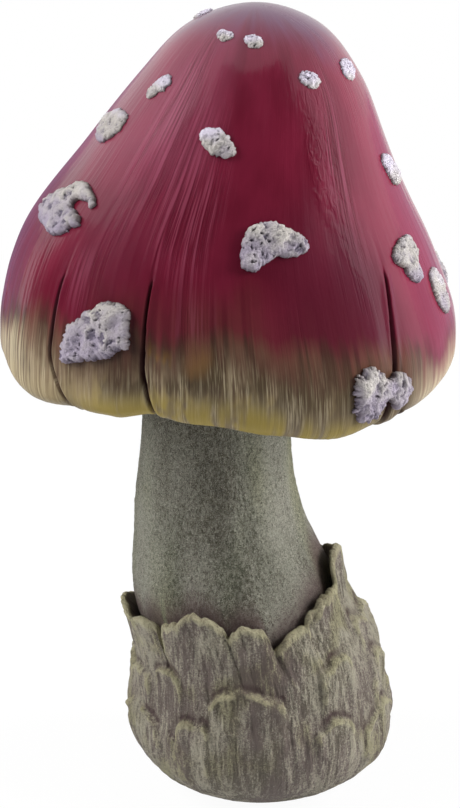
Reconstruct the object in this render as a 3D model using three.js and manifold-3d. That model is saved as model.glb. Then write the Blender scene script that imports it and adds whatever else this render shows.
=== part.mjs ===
// Fly agaric figurine: a cast toadstool ornament, in millimetres, +Z up.
// The origin is the centre of the flat foot, and the front of the object faces -Y.
// Bearings are degrees round the vertical, 0 along +X and -90 towards the front.
import * as THREE from "three";
import { mergeVertices } from "three/addons/utils/BufferGeometryUtils.js";
import Module from "manifold-3d";

const wasm = await Module();
wasm.setup();
const { clamp, degToRad, lerp, radToDeg, smoothstep } = THREE.MathUtils;

// Clearance left for adhesive between pieces that are bonded to each other
const glueGap = 0.4;

// Cap: a bell whose rim stands at rimHeight and whose crown leans to one side of it
const rimHeight = 215.5;
const capRadius = 104.5;
const capDepth = 162;
const capWall = 7;
const capShift = -15;
const lipWidth = 13;
const lipHeight = 26;
const lipBevel = 1.5;
const splitDepth = 4.5;
const splitProud = 2;

// Share of the cap's depth above which its lobes don't change the plain bell
const lobeStart = 0.36;

// A split is narrow and shallow at its top: its width and depth there, as shares of those at the rim.
// Its hook ends at a share of the outline.
const splitTopWidth = 0.2;
const splitTopDepth = 0.3;
const splitHookEnd = 0.84;

// Sideways lean of the cap's middle line at shares of its depth, crown first
const capLean = [
  [0, 12.4],
  [0.19, 9.9],
  [0.37, 4.2],
  [0.55, -1.2],
  [0.7, -1.8],
  [0.87, 0],
  [1, 0],
];

// Outline of the cap from the crown down to the underside of its lip, as shares of radius and depth
const capOutline = [
  [0.278, 0.056],
  [0.474, 0.197],
  [0.675, 0.414],
  [0.876, 0.63],
  [0.979, 0.815],
  [1, 0.92],
  [0.988, 0.972],
  [0.945, 0.997],
  [0.9, 1],
];

// Lobes of the rim, going round. Each starts at a split, where the rim hangs by notch, and hangs
// lowest at its low bearing. The split runs up to the share top of the outline, and shifts by hook
// just above the lip and by rake over its whole length.
const lobes = [
  { split: -168, notch: 1, low: -150, hang: 4.6, top: 0.8, width: 2, hook: 3, rake: -3 },
  { split: -131.5, notch: 1.5, low: -120, hang: 0.4, top: 0.69, width: 3, hook: 8, rake: -2 },
  { split: -107.7, notch: -4, low: -62, hang: 10.4, top: 0.672, width: 2.2, hook: 4, rake: -2.5 },
  { split: -50.4, notch: 9, low: -46, hang: 9.8, top: 0.683, width: 2.6, hook: -1.4, rake: -8 },
  { split: -42.5, notch: 7.4, low: -12, hang: 3.6, top: 0.955, width: 2, hook: 0, rake: 0 },
  { split: 8, notch: 0, low: 34, hang: 6, top: 0.72, width: 2.4, hook: -3, rake: 3 },
  { split: 58, notch: -1, low: 84, hang: 5, top: 0.67, width: 2.6, hook: 4, rake: -3 },
  { split: 112, notch: 0, low: 140, hang: 6, top: 0.7, width: 2.4, hook: -4, rake: 4 },
];

// Underside of the cap: a ribbed gill plate let into the lip, and the socket that stands on it
const gillCount = 48;
const gillDepth = 4;
const gillMargin = 3;
const plateThickness = 7;
const plateRecess = 12;
const hubRadius = 56;
const socketWall = 6;
const socketDepth = 26;
const socketRoof = 6;
const socketFlange = 5;

// Stem: hollow from below, plugged into the bulb at its foot and into the socket at its neck
const stemWall = 9;
const stemHollowCone = 20;
const plugRadius = 46;
const flareRadius = 49.5;
const flareHeight = 96;
const waistRadius = 41.2;
const waistHeight = 131;
const neckRadius = 34.2;
const throatRadius = 35.6;
const throatHeight = 170;
const stemFootShift = -5;
const stemTopShift = -20.5;
const stemBendEnd = 155;

// Dowel between the stem and the socket
const dowelRadius = 6;
const dowelSink = 22;
const dowelCover = 12;

// Bulb: a round-bottomed cup with a ragged collar of petals standing round the stem
const footRadius = 35;
const bulbRadius = 63;
const bulbWidest = 32;
const bulbSwell = 1;
const bulbSwellHeight = 20;
const bulbRoundness = 2.5;
const shoulderRadius = 58.6;
const shoulderHeight = 66;
const shoulderShift = -1;
const shoulderEase = 1.2;
const seatHeight = 56;
const webThickness = 8;
const pocketRadius = 30;
const discThickness = 5;
const collarRoot = 80;
const notchHeight = 86;
const petalThickness = 3.4;
const collarNeck = 97;
const petalFlare = 0.12;
const petalSquareness = 4;
const collarBow = 0.25;
const collarRipple = 0.9;

// Petals of the collar, going round: where each stands, how wide and high it is, and how far
// its edge stands out from the stem.
const petals = [
  { bearing: -173, halfWidth: 19, tip: 90.5, gap: 7.2 },
  { bearing: -139, halfWidth: 9, tip: 96, gap: 7 },
  { bearing: -113, halfWidth: 21, tip: 104, gap: 5 },
  { bearing: -84, halfWidth: 12, tip: 100.5, gap: 5 },
  { bearing: -62.5, halfWidth: 11, tip: 98.5, gap: 5 },
  { bearing: -38, halfWidth: 17, tip: 110, gap: 6 },
  { bearing: -6, halfWidth: 13, tip: 121, gap: 8.4 },
  { bearing: 23, halfWidth: 16, tip: 95, gap: 5.4 },
  { bearing: 50, halfWidth: 17, tip: 107, gap: 8 },
  { bearing: 80, halfWidth: 16, tip: 98, gap: 6 },
  { bearing: 108, halfWidth: 16, tip: 106, gap: 7 },
  { bearing: 134, halfWidth: 14, tip: 94, gap: 6 },
  { bearing: 160, halfWidth: 15, tip: 89, gap: 5 },
];

// Scales that lie on the bulb like shingles, each with an arched upper edge
const scaleSink = 1.2;
const scaleRoot = 2.4;
const scaleFlatness = 0.55;
const scales = [
  { bearing: -97, halfWidth: 20, top: 71, bottom: 12, arch: 15, proud: 2.5 },
  { bearing: -121, halfWidth: 9.5, top: 52, bottom: 10, arch: 8, proud: 2.5 },
  { bearing: -136, halfWidth: 9, top: 74, bottom: 30, arch: 8, proud: 2.5 },
  { bearing: -158, halfWidth: 13, top: 68, bottom: 26, arch: 10, proud: 2.5 },
  { bearing: -152, halfWidth: 14, top: 48, bottom: 8, arch: 12, proud: 2.5 },
  { bearing: -52, halfWidth: 12, top: 83, bottom: 42, arch: 9, proud: 2.5 },
  { bearing: -53, halfWidth: 12, top: 54, bottom: 12, arch: 9, proud: 2.5 },
  { bearing: -6, halfWidth: 23, top: 88, bottom: 38, arch: 9, proud: 3 },
  { bearing: -22, halfWidth: 14, top: 50, bottom: 8, arch: 10, proud: 2.5 },
  { bearing: 20, halfWidth: 18, top: 56, bottom: 10, arch: 12, proud: 2.5 },
  { bearing: 52, halfWidth: 15, top: 76, bottom: 28, arch: 10, proud: 2.5 },
  { bearing: 84, halfWidth: 19, top: 62, bottom: 10, arch: 14, proud: 2.6 },
  { bearing: 118, halfWidth: 15, top: 77, bottom: 28, arch: 10, proud: 2.5 },
  { bearing: 140, halfWidth: 14, top: 50, bottom: 10, arch: 10, proud: 2.5 },
  { bearing: 172, halfWidth: 14, top: 66, bottom: 16, arch: 10, proud: 2.5 },
];

// Warts on the cap. Each lies at a bearing and a share of the outline from crown to lip, and has
// its half length and half width, the turn of its length from level, its thickness, and its bays:
// any dents in its outline, each at an angle from its length, with a depth as a share.
const warts = [
  { name: "crown_left", bearing: -119.3, share: 0.139, long: 4.5, wide: 3.8, turn: 20, thick: 2.6 },
  { name: "crown_right", bearing: -91.2, share: 0.153, long: 5, wide: 3.9, turn: 20, thick: 2.6 },
  { name: "crown_back", bearing: 160, share: 0.12, long: 5, wide: 4.4, turn: 0, thick: 2.6 },
  { name: "shoulder_left", bearing: -147.5, share: 0.288, long: 7.8, wide: 5.2, turn: -42, thick: 3.2 },
  { name: "shoulder_right", bearing: -56, share: 0.257, long: 5.8, wide: 5, turn: 10, thick: 2.6 },
  { name: "shoulder_far_right", bearing: -22, share: 0.255, long: 6.8, wide: 4.8, turn: 60, thick: 2.6 },
  { name: "flank_left", bearing: -161, share: 0.39, long: 11, wide: 8, turn: -42, thick: 3.4 },
  { name: "front_middle", bearing: -99.8, share: 0.38, long: 9.4, wide: 6.6, turn: 18, thick: 3.6 },
  { name: "flank_right", bearing: -15, share: 0.51, long: 9.5, wide: 7, turn: 55, thick: 2.6 },
  {
    name: "hooked",
    bearing: -150.7,
    share: 0.564,
    long: 20,
    wide: 12.5,
    turn: -22,
    thick: 4.2,
    bays: [{ at: 20, depth: 0.5, half: 28 }],
  },
  {
    name: "crescent",
    bearing: -76.2,
    share: 0.589,
    long: 15.5,
    wide: 9.6,
    turn: 3,
    thick: 4.6,
    bays: [{ at: 56, depth: 0.34, half: 44 }],
  },
  { name: "right_upper", bearing: -31, share: 0.672, long: 12.4, wide: 8.8, turn: 78, thick: 3.6 },
  { name: "right_lower", bearing: -16.5, share: 0.775, long: 10.4, wide: 7.6, turn: 80, thick: 2.8 },
  {
    name: "large_front",
    bearing: -124.8,
    share: 0.785,
    long: 19.4,
    wide: 12.6,
    turn: -28,
    thick: 5,
    bays: [{ at: 214, depth: 0.2, half: 36 }],
  },
  {
    name: "bridging",
    bearing: -51.2,
    share: 0.905,
    long: 18.4,
    wide: 12,
    turn: -6,
    thick: 4.4,
    bays: [
      { at: -62, depth: 0.3, half: 26 },
      { at: 72, depth: 0.36, half: 24 },
      { at: 12, depth: 0.16, half: 40 },
    ],
  },
  { name: "back_upper_right", bearing: 28, share: 0.33, long: 8, wide: 6, turn: 40, thick: 3 },
  { name: "back_upper_middle", bearing: 86, share: 0.27, long: 7.4, wide: 5.4, turn: -20, thick: 2.8 },
  { name: "back_upper_left", bearing: 137, share: 0.36, long: 9.6, wide: 6.4, turn: 30, thick: 3.2 },
  { name: "back_middle_right", bearing: 46, share: 0.56, long: 14, wide: 9.4, turn: -30, thick: 4 },
  { name: "back_middle", bearing: 101, share: 0.52, long: 10, wide: 7.4, turn: 15, thick: 3.4 },
  {
    name: "back_middle_left",
    bearing: 147,
    share: 0.64,
    long: 15,
    wide: 10,
    turn: 25,
    thick: 4.2,
    bays: [{ at: 80, depth: 0.3, half: 40 }],
  },
  { name: "right_flank_low", bearing: 19, share: 0.83, long: 14, wide: 10, turn: 40, thick: 4.2 },
  { name: "back_low_right", bearing: 72, share: 0.79, long: 17, wide: 11.5, turn: -25, thick: 4.6 },
  { name: "back_low_left", bearing: 127, share: 0.83, long: 12.5, wide: 9.4, turn: 70, thick: 4 },
  { name: "left_flank_low", bearing: 161, share: 0.86, long: 13, wide: 9.6, turn: -30, thick: 4 },
];
const wartRoughness = 0.11;
const wartLumps = 0.25;

// Dome of a wart from its edge to its middle, as shares of its reach and of its thickness
const wartDome = [
  [1, 0.3],
  [0.84, 0.78],
  [0.46, 0.97],
  [0, 1],
];

// Mesh fineness. A wart is large, medium or small by the mean of its half length and half width.
const capSegments = 64;
const cupSegments = 60;
const stemSegments = 30;
const hubSegments = 24;
const discSegments = 32;
const dowelSegments = 20;
const largeWart = { size: 11, segments: 16, underside: [0, 0.34, 0.66, 0.94] };
const mediumWart = { size: 6.5, segments: 12, underside: [0, 0.5, 0.94] };
const smallWart = { size: 0, segments: 10, underside: [0, 0.5, 0.94] };

const finishes = {
  lacquer: { color: 0x6e1c2d, roughness: 0.35, metalness: 0 },
  gills: { color: 0xb9ab86, roughness: 0.7, metalness: 0 },
  wart: { color: 0xd7d2cd, roughness: 0.85, metalness: 0 },
  stem: { color: 0x7a7d6e, roughness: 0.8, metalness: 0 },
  bulb: { color: 0x7d7260, roughness: 0.85, metalness: 0 },
  core: { color: 0x8c8a84, roughness: 0.9, metalness: 0 },
  wood: { color: 0xb08a5a, roughness: 0.7, metalness: 0 },
};

// Value at a place on a smooth line through knots, each a [place, value], level past both ends.
function along(knots, place) {
  const last = knots.length - 1;
  if (place <= knots[0][0]) return knots[0][1];
  if (place >= knots[last][0]) return knots[last][1];
  const i = knots.findIndex(([at]) => at > place) - 1;
  const span = knots[i + 1][0] - knots[i][0];
  const slope = (k) => {
    const before = knots[Math.max(k - 1, 0)];
    const after = knots[Math.min(k + 1, last)];
    return ((after[1] - before[1]) / (after[0] - before[0])) * span;
  };
  const t = (place - knots[i][0]) / span;
  const rise = t * t * (3 - 2 * t);
  const bend = t * (1 - t) * (slope(i) * (1 - t) - slope(i + 1) * t);
  return lerp(knots[i][1], knots[i + 1][1], rise) + bend;
}

// Smallest turn from one bearing to another, between -180 and 180.
function turnBetween(from, to) {
  return ((((to - from + 180) % 360) + 360) % 360) - 180;
}

// A point at a radius and bearing round a vertical axis that stands at x.
function around(x, radius, bearing, z) {
  const angle = degToRad(bearing);
  return new THREE.Vector3(x + radius * Math.cos(angle), radius * Math.sin(angle), z);
}

// Gentle waviness between -1 and 1, the same on each run, that differs from seed to seed.
function ripple(seed, angle) {
  const a = degToRad(angle);
  const waves = Math.sin(3 * a + seed * 1.7) + Math.sin(5 * a + seed * 2.9) + Math.sin(8 * a + seed * 4.3);
  return waves / 3;
}

// A lathe geometry sculpted so that each of its rings follows a function from bearing to point.
// The rings run from bottom to top on outward faces, and end on an axis or where they began.
function sculpted(rings, segments) {
  const rail = rings.map((ring, i) => new THREE.Vector2(1, i));
  const lathe = new THREE.LatheGeometry(rail, segments);
  const position = lathe.getAttribute("position");
  for (let i = 0; i < position.count; i++) {
    const segment = Math.floor(i / rings.length) % segments;
    const point = rings[i % rings.length]((segment * 360) / segments);
    position.setXYZ(i, point.x, point.y, point.z);
  }
  return lathe;
}

// A box sculpted so that each corner of its grid goes where place(across, out, down) says.
// Across and out run from -1 to 1, and down from 0 at the top to 1 at the bottom.
function sculptedBox(acrossSteps, downSteps, place) {
  const box = new THREE.BoxGeometry(2, 2, 1, acrossSteps, 1, downSteps);
  const position = box.getAttribute("position");
  for (let i = 0; i < position.count; i++) {
    const point = place(position.getX(i), -position.getY(i), 0.5 - position.getZ(i));
    position.setXYZ(i, point.x, point.y, point.z);
  }
  return box;
}

function solidOf(geometry) {
  const bare = geometry.clone();
  bare.deleteAttribute("normal");
  bare.deleteAttribute("uv");
  const merged = mergeVertices(bare, 1e-4);
  const vertProperties = merged.getAttribute("position").array;
  return new wasm.Manifold(
    new wasm.Mesh({ numProp: 3, vertProperties, triVerts: new Uint32Array(merged.index.array) }),
  );
}

function geometryOf(solid) {
  const mesh = solid.getMesh();
  const geometry = new THREE.BufferGeometry();
  geometry.setAttribute("position", new THREE.BufferAttribute(mesh.vertProperties, mesh.numProp));
  geometry.setIndex(new THREE.BufferAttribute(mesh.triVerts, 1));
  geometry.computeVertexNormals();
  return geometry;
}

function piece(name, geometry, finish) {
  const mesh = new THREE.Mesh(geometry, new THREE.MeshStandardMaterial(finishes[finish]));
  mesh.name = name;
  return mesh;
}

// Cap: heights here are above the rim, because the cap's group stands at rimHeight

const outlineHalf = capOutline.map(([r, d]) => new THREE.Vector2(r * capRadius, d * capDepth));
const outlineMirror = outlineHalf.map((p) => new THREE.Vector2(-p.x, p.y)).reverse();
const outlineCurve = new THREE.SplineCurve([...outlineMirror, new THREE.Vector2(0, 0), ...outlineHalf]);
outlineCurve.arcLengthDivisions = 800;
const outlineLength = outlineCurve.getLength() / 2;

// How far the rim hangs below its mean height at a bearing.
function hang(bearing) {
  const knots = lobes.flatMap((lobe) => [
    [lobe.split, lobe.notch],
    [lobe.low, lobe.hang],
  ]);
  const first = knots[0][0];
  const place = first + ((((bearing - first) % 360) + 360) % 360);
  const ring = [...knots, [first + 360, knots[0][1]]];
  const i = ring.findIndex(([at]) => at > place) - 1;
  const t = (place - ring[i][0]) / (ring[i + 1][0] - ring[i][0]);
  return lerp(ring[i][1], ring[i + 1][1], (1 - Math.cos(Math.PI * t)) / 2);
}

// Bends a point of the plain bell to its leaning crown and hanging lobes.
function bent(radius, depth, bearing) {
  const share = depth / capDepth;
  const weight = clamp((share - lobeStart) / (1 - lobeStart), 0, 1) ** 2;
  const z = capDepth - depth - hang(bearing) * weight;
  return around(along(capLean, share), radius, bearing, z);
}

// A point on the cap at a bearing and a share of its outline, lifted off its skin.
function capPoint(bearing, share, lift = 0) {
  const at = 0.5 + clamp(share, 0, 1) / 2;
  const point = outlineCurve.getPointAt(at);
  const slope = outlineCurve.getTangentAt(at);
  return bent(point.x + slope.y * lift, point.y - slope.x * lift, bearing);
}

// Turn in bearing that a width spans on the cap's skin at a share of its outline.
function turnFor(width, share) {
  return radToDeg(width / outlineCurve.getPointAt(0.5 + clamp(share, 0, 1) / 2).x);
}

function splitCutter({ split, top, width, hook, rake }) {
  return sculptedBox(1, 9, (across, out, down) => {
    const share = lerp(top, 1, down);
    const bearing = split - hook * (1 - smoothstep(share, splitHookEnd, 1)) - rake * (1 - down);
    const growth = Math.sqrt(down);
    const half = (width / 2) * lerp(splitTopWidth, 1, growth);
    const lift = out > 0 ? splitProud : -splitDepth * lerp(splitTopDepth, 1, growth);
    return capPoint(bearing + turnFor(across * half, share), share, lift);
  });
}

const lipInnerRadius = capRadius - lipWidth;

function capShell() {
  const skin = [0, 0.045, 0.09, 0.15, 0.23, 0.32, 0.42, 0.52, 0.62, 0.72, 0.81, 0.88, 0.93, 0.96, 0.98, 1];
  const inside = [0, 0.1, 0.28, 0.5, 0.67, 0.8];
  const rings = [
    ...inside.map((share) => (bearing) => capPoint(bearing, share, -capWall)),
    (bearing) => bent(lipInnerRadius, capDepth - lipHeight, bearing),
    (bearing) => bent(lipInnerRadius, capDepth - lipBevel, bearing),
    ...skin.reverse().map((share) => (bearing) => capPoint(bearing, share)),
  ];
  let shell = solidOf(sculpted(rings, capSegments));
  lobes.forEach((lobe) => {
    shell = shell.subtract(solidOf(splitCutter(lobe)));
  });
  return piece("cap_shell", geometryOf(shell), "lacquer");
}

// Underside of the cap

const neckShift = stemTopShift - capShift;
const neckHole = neckRadius + glueGap;
const plateEdge = lipInnerRadius - glueGap;

// A point of the gill plate, which is round the stem at its hub and round the lip at its edge.
function platePoint(radius, above, bearing) {
  const outward = (radius - neckHole) / (plateEdge - neckHole);
  return around(neckShift * (1 - outward), radius, bearing, plateRecess + above);
}

function gillPlate() {
  const step = 360 / (2 * gillCount);
  const gill = (radius) => (bearing) => {
    const valley = Math.round(bearing / step) % 2;
    return platePoint(radius, valley * gillDepth, bearing);
  };
  const flat = (radius, above) => (bearing) => platePoint(radius, above, bearing);
  const rings = [
    flat(neckHole, 0),
    gill(neckHole + gillMargin),
    gill((neckHole + plateEdge) / 2),
    gill(plateEdge - gillMargin),
    flat(plateEdge, 0),
    flat(plateEdge, plateThickness),
    flat(hubRadius, plateThickness),
    flat(neckHole, plateThickness),
    flat(neckHole, 0),
  ];
  return piece("gill_plate", sculpted(rings, 2 * gillCount), "gills");
}

// Heights above the rim: the socket stands on the gill plate, and the stem reaches into it
const socketFloor = plateRecess + plateThickness + glueGap;
const stemTopInCap = socketFloor + socketDepth;
const dowelHole = dowelRadius + glueGap;

function stemSocket() {
  const roof = stemTopInCap + glueGap;
  const profile = [
    [0, roof + dowelSink],
    [dowelHole, roof + dowelSink],
    [dowelHole, roof],
    [neckHole, roof],
    [neckHole, socketFloor],
    [hubRadius - 1, socketFloor],
    [hubRadius - 1, socketFloor + socketFlange],
    [neckHole + socketWall, socketFloor + socketFlange],
    [neckHole + socketWall, roof + socketRoof],
    [dowelHole + socketWall, roof + socketRoof],
    [dowelHole + socketWall, roof + dowelSink + socketWall],
    [0, roof + dowelSink + socketWall],
  ];
  const rings = profile.map(([radius, z]) => (bearing) => around(neckShift, radius, bearing, z));
  return piece("stem_socket", sculpted(rings, hubSegments), "core");
}

// A wart: a low rough dome whose underside follows the cap's skin.
function wartPiece(spec, index) {
  const { bearing, share, long, wide, turn, thick, bays = [] } = spec;
  const grade = [largeWart, mediumWart, smallWart].find(({ size }) => Math.sqrt(long * wide) > size);
  const reach = (angle) => {
    const a = degToRad(angle);
    const ellipse = 1 / Math.hypot(Math.cos(a) / long, Math.sin(a) / wide);
    const dents = bays.reduce((left, bay) => {
      const near = clamp(1 - Math.abs(turnBetween(bay.at, angle)) / bay.half, 0, 1);
      return left * (1 - bay.depth * near * near * (3 - 2 * near));
    }, 1);
    return ellipse * dents * (1 + wartRoughness * ripple(index, angle));
  };
  const skin = (radial, rise) => (angle) => {
    const out = radial * reach(angle);
    const course = degToRad(angle + turn);
    const at = share + (out * Math.sin(course)) / outlineLength;
    const sideways = turnFor(out * Math.cos(course), at);
    const lump = 1 + wartLumps * radial * ripple(index + 5, angle * 2);
    return capPoint(bearing + sideways, at, glueGap + rise * thick * lump);
  };
  const rings = [
    ...grade.underside.map((radial) => skin(radial, 0)),
    ...wartDome.map(([radial, rise]) => skin(radial, rise)),
  ].map((ring) => (angle) => ring(-angle));
  return piece("wart_" + spec.name, sculpted(rings, grade.segments), "wart");
}

// Stem

const stemFoot = seatHeight + glueGap;
const stemTop = rimHeight + stemTopInCap;

function stemRadius(z) {
  const knots = [
    [seatHeight, plugRadius],
    [flareHeight, flareRadius],
    [waistHeight, waistRadius],
    [throatHeight, throatRadius],
    [rimHeight, neckRadius],
  ];
  return along(knots, z);
}

function stemAxis(z) {
  return lerp(stemFootShift, stemTopShift, smoothstep(z, seatHeight, stemBendEnd));
}

// A point beside the stem at a height, standing off its skin.
function stemPoint(bearing, z, off = 0) {
  return around(stemAxis(z), stemRadius(z) + off, bearing, z);
}

function stem() {
  const shares = [0, 0.08, 0.16, 0.22, 0.28, 0.34, 0.41, 0.5, 0.62, 0.8, 1];
  const heights = shares.map((share) => lerp(stemFoot, rimHeight, share));
  const hollowTop = stemTop - dowelSink - dowelCover;
  const inner = [...heights.filter((z) => z < hollowTop - stemHollowCone), hollowTop].reverse();
  const centred = (radius, z) => (bearing) => around(stemAxis(z), radius, bearing, z);
  const rings = [
    centred(0, hollowTop),
    ...inner.map((z) => (bearing) => stemPoint(bearing, z, -stemWall)),
    ...heights.map((z) => (bearing) => stemPoint(bearing, z)),
    (bearing) => stemPoint(bearing, stemTop),
    centred(dowelHole, stemTop),
    centred(dowelHole, stemTop - dowelSink),
    centred(0, stemTop - dowelSink),
  ];
  return piece("stem", sculpted(rings, stemSegments), "stem");
}

function joiningDowel() {
  const length = 2 * dowelSink - glueGap;
  const rod = new THREE.CylinderGeometry(dowelRadius, dowelRadius, length, dowelSegments);
  const dowel = piece("joining_dowel", rod, "wood");
  dowel.rotation.x = Math.PI / 2;
  dowel.position.set(stemTopShift, 0, stemTop + glueGap / 2);
  return dowel;
}

// Bulb

// Petal that stands highest at a bearing, with the height and gap of the collar's edge there.
function collarEdge(bearing) {
  let height = notchHeight;
  let gapSum = 0;
  let weightSum = 0;
  petals.forEach((petal) => {
    const off = Math.abs(turnBetween(petal.bearing, bearing)) / petal.halfWidth;
    height = Math.max(height, lerp(notchHeight, petal.tip, 1 - off ** petalSquareness));
    const weight = Math.exp(-2 * off * off);
    gapSum += weight * petal.gap;
    weightSum += weight;
  });
  return { height: height + collarRipple * ripple(3, bearing * 2), gap: gapSum / weightSum };
}

// A point on the outside of the bulb and its collar at a height, lifted off its skin.
function cupPoint(bearing, z, lift = 0) {
  if (z <= shoulderHeight) {
    const low = clamp(1 - z / bulbWidest, 0, 1);
    const high = clamp((z - bulbWidest) / (shoulderHeight - bulbWidest), 0, 1);
    const belly = lerp(footRadius, bulbRadius, 1 - low ** bulbRoundness);
    const narrowing = smoothstep(high, 0, shoulderEase) / smoothstep(1, 0, shoulderEase);
    const radius = belly + (shoulderRadius - bulbRadius) * narrowing;
    const swell = [[0, 0], [bulbSwellHeight, bulbSwell], [shoulderHeight, shoulderShift]];
    return around(along(swell, z), radius + lift, bearing, z);
  }
  const edge = collarEdge(bearing);
  const neck = Math.min(edge.height, collarNeck);
  const gapAt = (height) => edge.gap - petalFlare * (edge.height - height) + lift;
  if (z >= neck) return stemPoint(bearing, z, gapAt(z));
  const t = (z - shoulderHeight) / (neck - shoulderHeight);
  const low = cupPoint(bearing, shoulderHeight, lift);
  const top = stemPoint(bearing, neck, gapAt(neck));
  const bow = lerp(t, t * t, collarBow);
  return new THREE.Vector3(lerp(low.x, top.x, bow), lerp(low.y, top.y, bow), z);
}

// A point on the inside of the collar, from its root at 0 to its edge at 1.
function collarInside(bearing, t) {
  const edge = collarEdge(bearing);
  const off = lerp(glueGap, edge.gap - petalThickness, t * t);
  return stemPoint(bearing, lerp(collarRoot, edge.height, t), off);
}

function scaleSolid({ bearing, halfWidth, top, bottom, arch, proud }) {
  return solidOf(
    sculptedBox(4, 3, (across, out, down) => {
      const z = lerp(top - arch * across * across, bottom, down);
      const raised = proud * (1 - down) * (1 - scaleFlatness * across * across) - scaleSink * down;
      return cupPoint(bearing + halfWidth * across, z, out > 0 ? raised : -scaleRoot);
    }),
  );
}

function volvaCup() {
  const webBottom = seatHeight - webThickness;
  const bulbHeights = [0, 2.5, 7, 14, 23, 33, 46, 57, shoulderHeight];
  const centred = (radius, z) => (bearing) => around(0, radius, bearing, z);
  const collarSteps = [0.33, 0.66, 0.9, 1];
  const rings = [
    centred(0, webBottom),
    centred(pocketRadius, webBottom),
    centred(pocketRadius, 0),
    ...bulbHeights.map((z) => (bearing) => cupPoint(bearing, z)),
    ...collarSteps.map((t) => (bearing) => {
      return cupPoint(bearing, lerp(shoulderHeight, collarEdge(bearing).height, t));
    }),
    ...[1, 0.7, 0.35, 0].map((t) => (bearing) => collarInside(bearing, t)),
    (bearing) => stemPoint(bearing, (collarRoot + seatHeight) / 2, glueGap),
    (bearing) => stemPoint(bearing, seatHeight, glueGap),
    (bearing) => stemPoint(bearing, seatHeight, -plugRadius),
  ];
  let cup = solidOf(sculpted(rings, cupSegments));
  scales.forEach((scale) => {
    cup = cup.add(scaleSolid(scale));
  });
  return piece("volva_cup", geometryOf(cup), "bulb");
}

function ballastCore() {
  const bottom = discThickness + glueGap;
  const height = seatHeight - webThickness - glueGap - bottom;
  const radius = pocketRadius - glueGap;
  const block = new THREE.CylinderGeometry(radius, radius, height, discSegments);
  const core = piece("ballast_core", block, "core");
  core.rotation.x = Math.PI / 2;
  core.position.z = bottom + height / 2;
  return core;
}

function baseDisc() {
  const radius = pocketRadius - glueGap;
  const plate = new THREE.CylinderGeometry(radius, radius, discThickness, discSegments);
  const disc = piece("base_disc", plate, "core");
  disc.rotation.x = Math.PI / 2;
  disc.position.z = discThickness / 2;
  return disc;
}

const figurine = new THREE.Group();
figurine.add(volvaCup(), ballastCore(), baseDisc(), stem(), joiningDowel());

const cap = new THREE.Group();
cap.position.set(capShift, 0, rimHeight);
cap.add(capShell(), gillPlate(), stemSocket(), ...warts.map(wartPiece));
figurine.add(cap);

export default figurine;
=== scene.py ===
"""Dresses the fly agaric figurine: lacquered cap, plaster warts, dry-brushed stem and bulb, and a studio.

Shapes are worked out in millimetres, and scaled to metres when a piece is finished. Bearings are degrees
round the vertical, 0 along +X and -90 towards the front. A share is a place on the cap's outline, 0 at the
crown and 1 at the rim.
"""

import math
from types import SimpleNamespace

import bmesh
import bpy
import numpy as np
from bpy.props import FloatProperty, FloatVectorProperty, PointerProperty
from mathutils import Matrix, Vector, noise


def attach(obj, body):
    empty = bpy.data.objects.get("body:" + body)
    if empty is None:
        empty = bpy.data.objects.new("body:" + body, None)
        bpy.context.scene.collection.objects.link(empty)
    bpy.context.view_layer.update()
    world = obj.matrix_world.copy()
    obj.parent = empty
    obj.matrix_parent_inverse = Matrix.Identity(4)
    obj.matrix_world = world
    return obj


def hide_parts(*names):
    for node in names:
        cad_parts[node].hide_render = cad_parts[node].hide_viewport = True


bl_info = {
    "name": "Fly Agaric Figurine",
    "version": (1, 0, 0),
    "blender": (4, 5, 0),
    "location": "View3D > Sidebar > Figurine",
    "description": "Dresses a cast toadstool ornament and sets up its studio",
    "category": "Add Mesh",
}

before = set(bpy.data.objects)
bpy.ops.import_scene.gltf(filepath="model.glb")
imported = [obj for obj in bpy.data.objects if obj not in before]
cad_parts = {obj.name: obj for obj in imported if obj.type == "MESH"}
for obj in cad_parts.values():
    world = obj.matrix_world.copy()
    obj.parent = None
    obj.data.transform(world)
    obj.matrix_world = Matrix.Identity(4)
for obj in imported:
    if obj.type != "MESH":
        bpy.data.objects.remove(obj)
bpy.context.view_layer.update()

# Millimetres in a metre
METRE = 1000.0

# Cap, as in the frame
RIM_HEIGHT = 215.5
CAP_RADIUS = 104.5
CAP_DEPTH = 162.0
CAP_WALL = 7.0
CAP_SHIFT = -15.0
LIP_INNER = 91.5
LIP_HEIGHT = 26.0
LIP_BEVEL = 1.5
LOBE_START = 0.36
OUTLINE_STEPS = 6001
CAP_LEAN = [(0, 12.4), (0.19, 9.9), (0.37, 4.2), (0.55, -1.2), (0.7, -1.8), (0.87, 0), (1, 0)]
CAP_OUTLINE = [
    (0.278, 0.056), (0.474, 0.197), (0.675, 0.414), (0.876, 0.63), (0.979, 0.815), (1, 0.92),
    (0.988, 0.972), (0.945, 0.997), (0.9, 1),
]

# Lobes of the rim: bearing of the split before it, how far the rim hangs there, its lowest bearing, how far
# it hangs there, and the split's top, width at the rim, hook and rake
LOBES = [
    (-168, 1, -150, 4.6, 0.8, 1.8, 3, -3),
    (-131.5, 1.5, -120, 0.4, 0.69, 2.8, 8, -2),
    (-107.7, -4, -62, 10.4, 0.672, 2.1, 4, -2.5),
    (-50.4, 9, -46, 9.8, 0.683, 2.4, -1.4, -8),
    (-42.5, 7.4, -12, 3.6, 0.955, 2, 0, 0),
    (8, 0, 34, 6, 0.72, 2.2, -3, 3),
    (58, -1, 84, 5, 0.67, 2.4, 4, -3),
    (112, 0, 140, 6, 0.7, 2.2, -4, 4),
]
SPLIT_HOOK_END = 0.84

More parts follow.
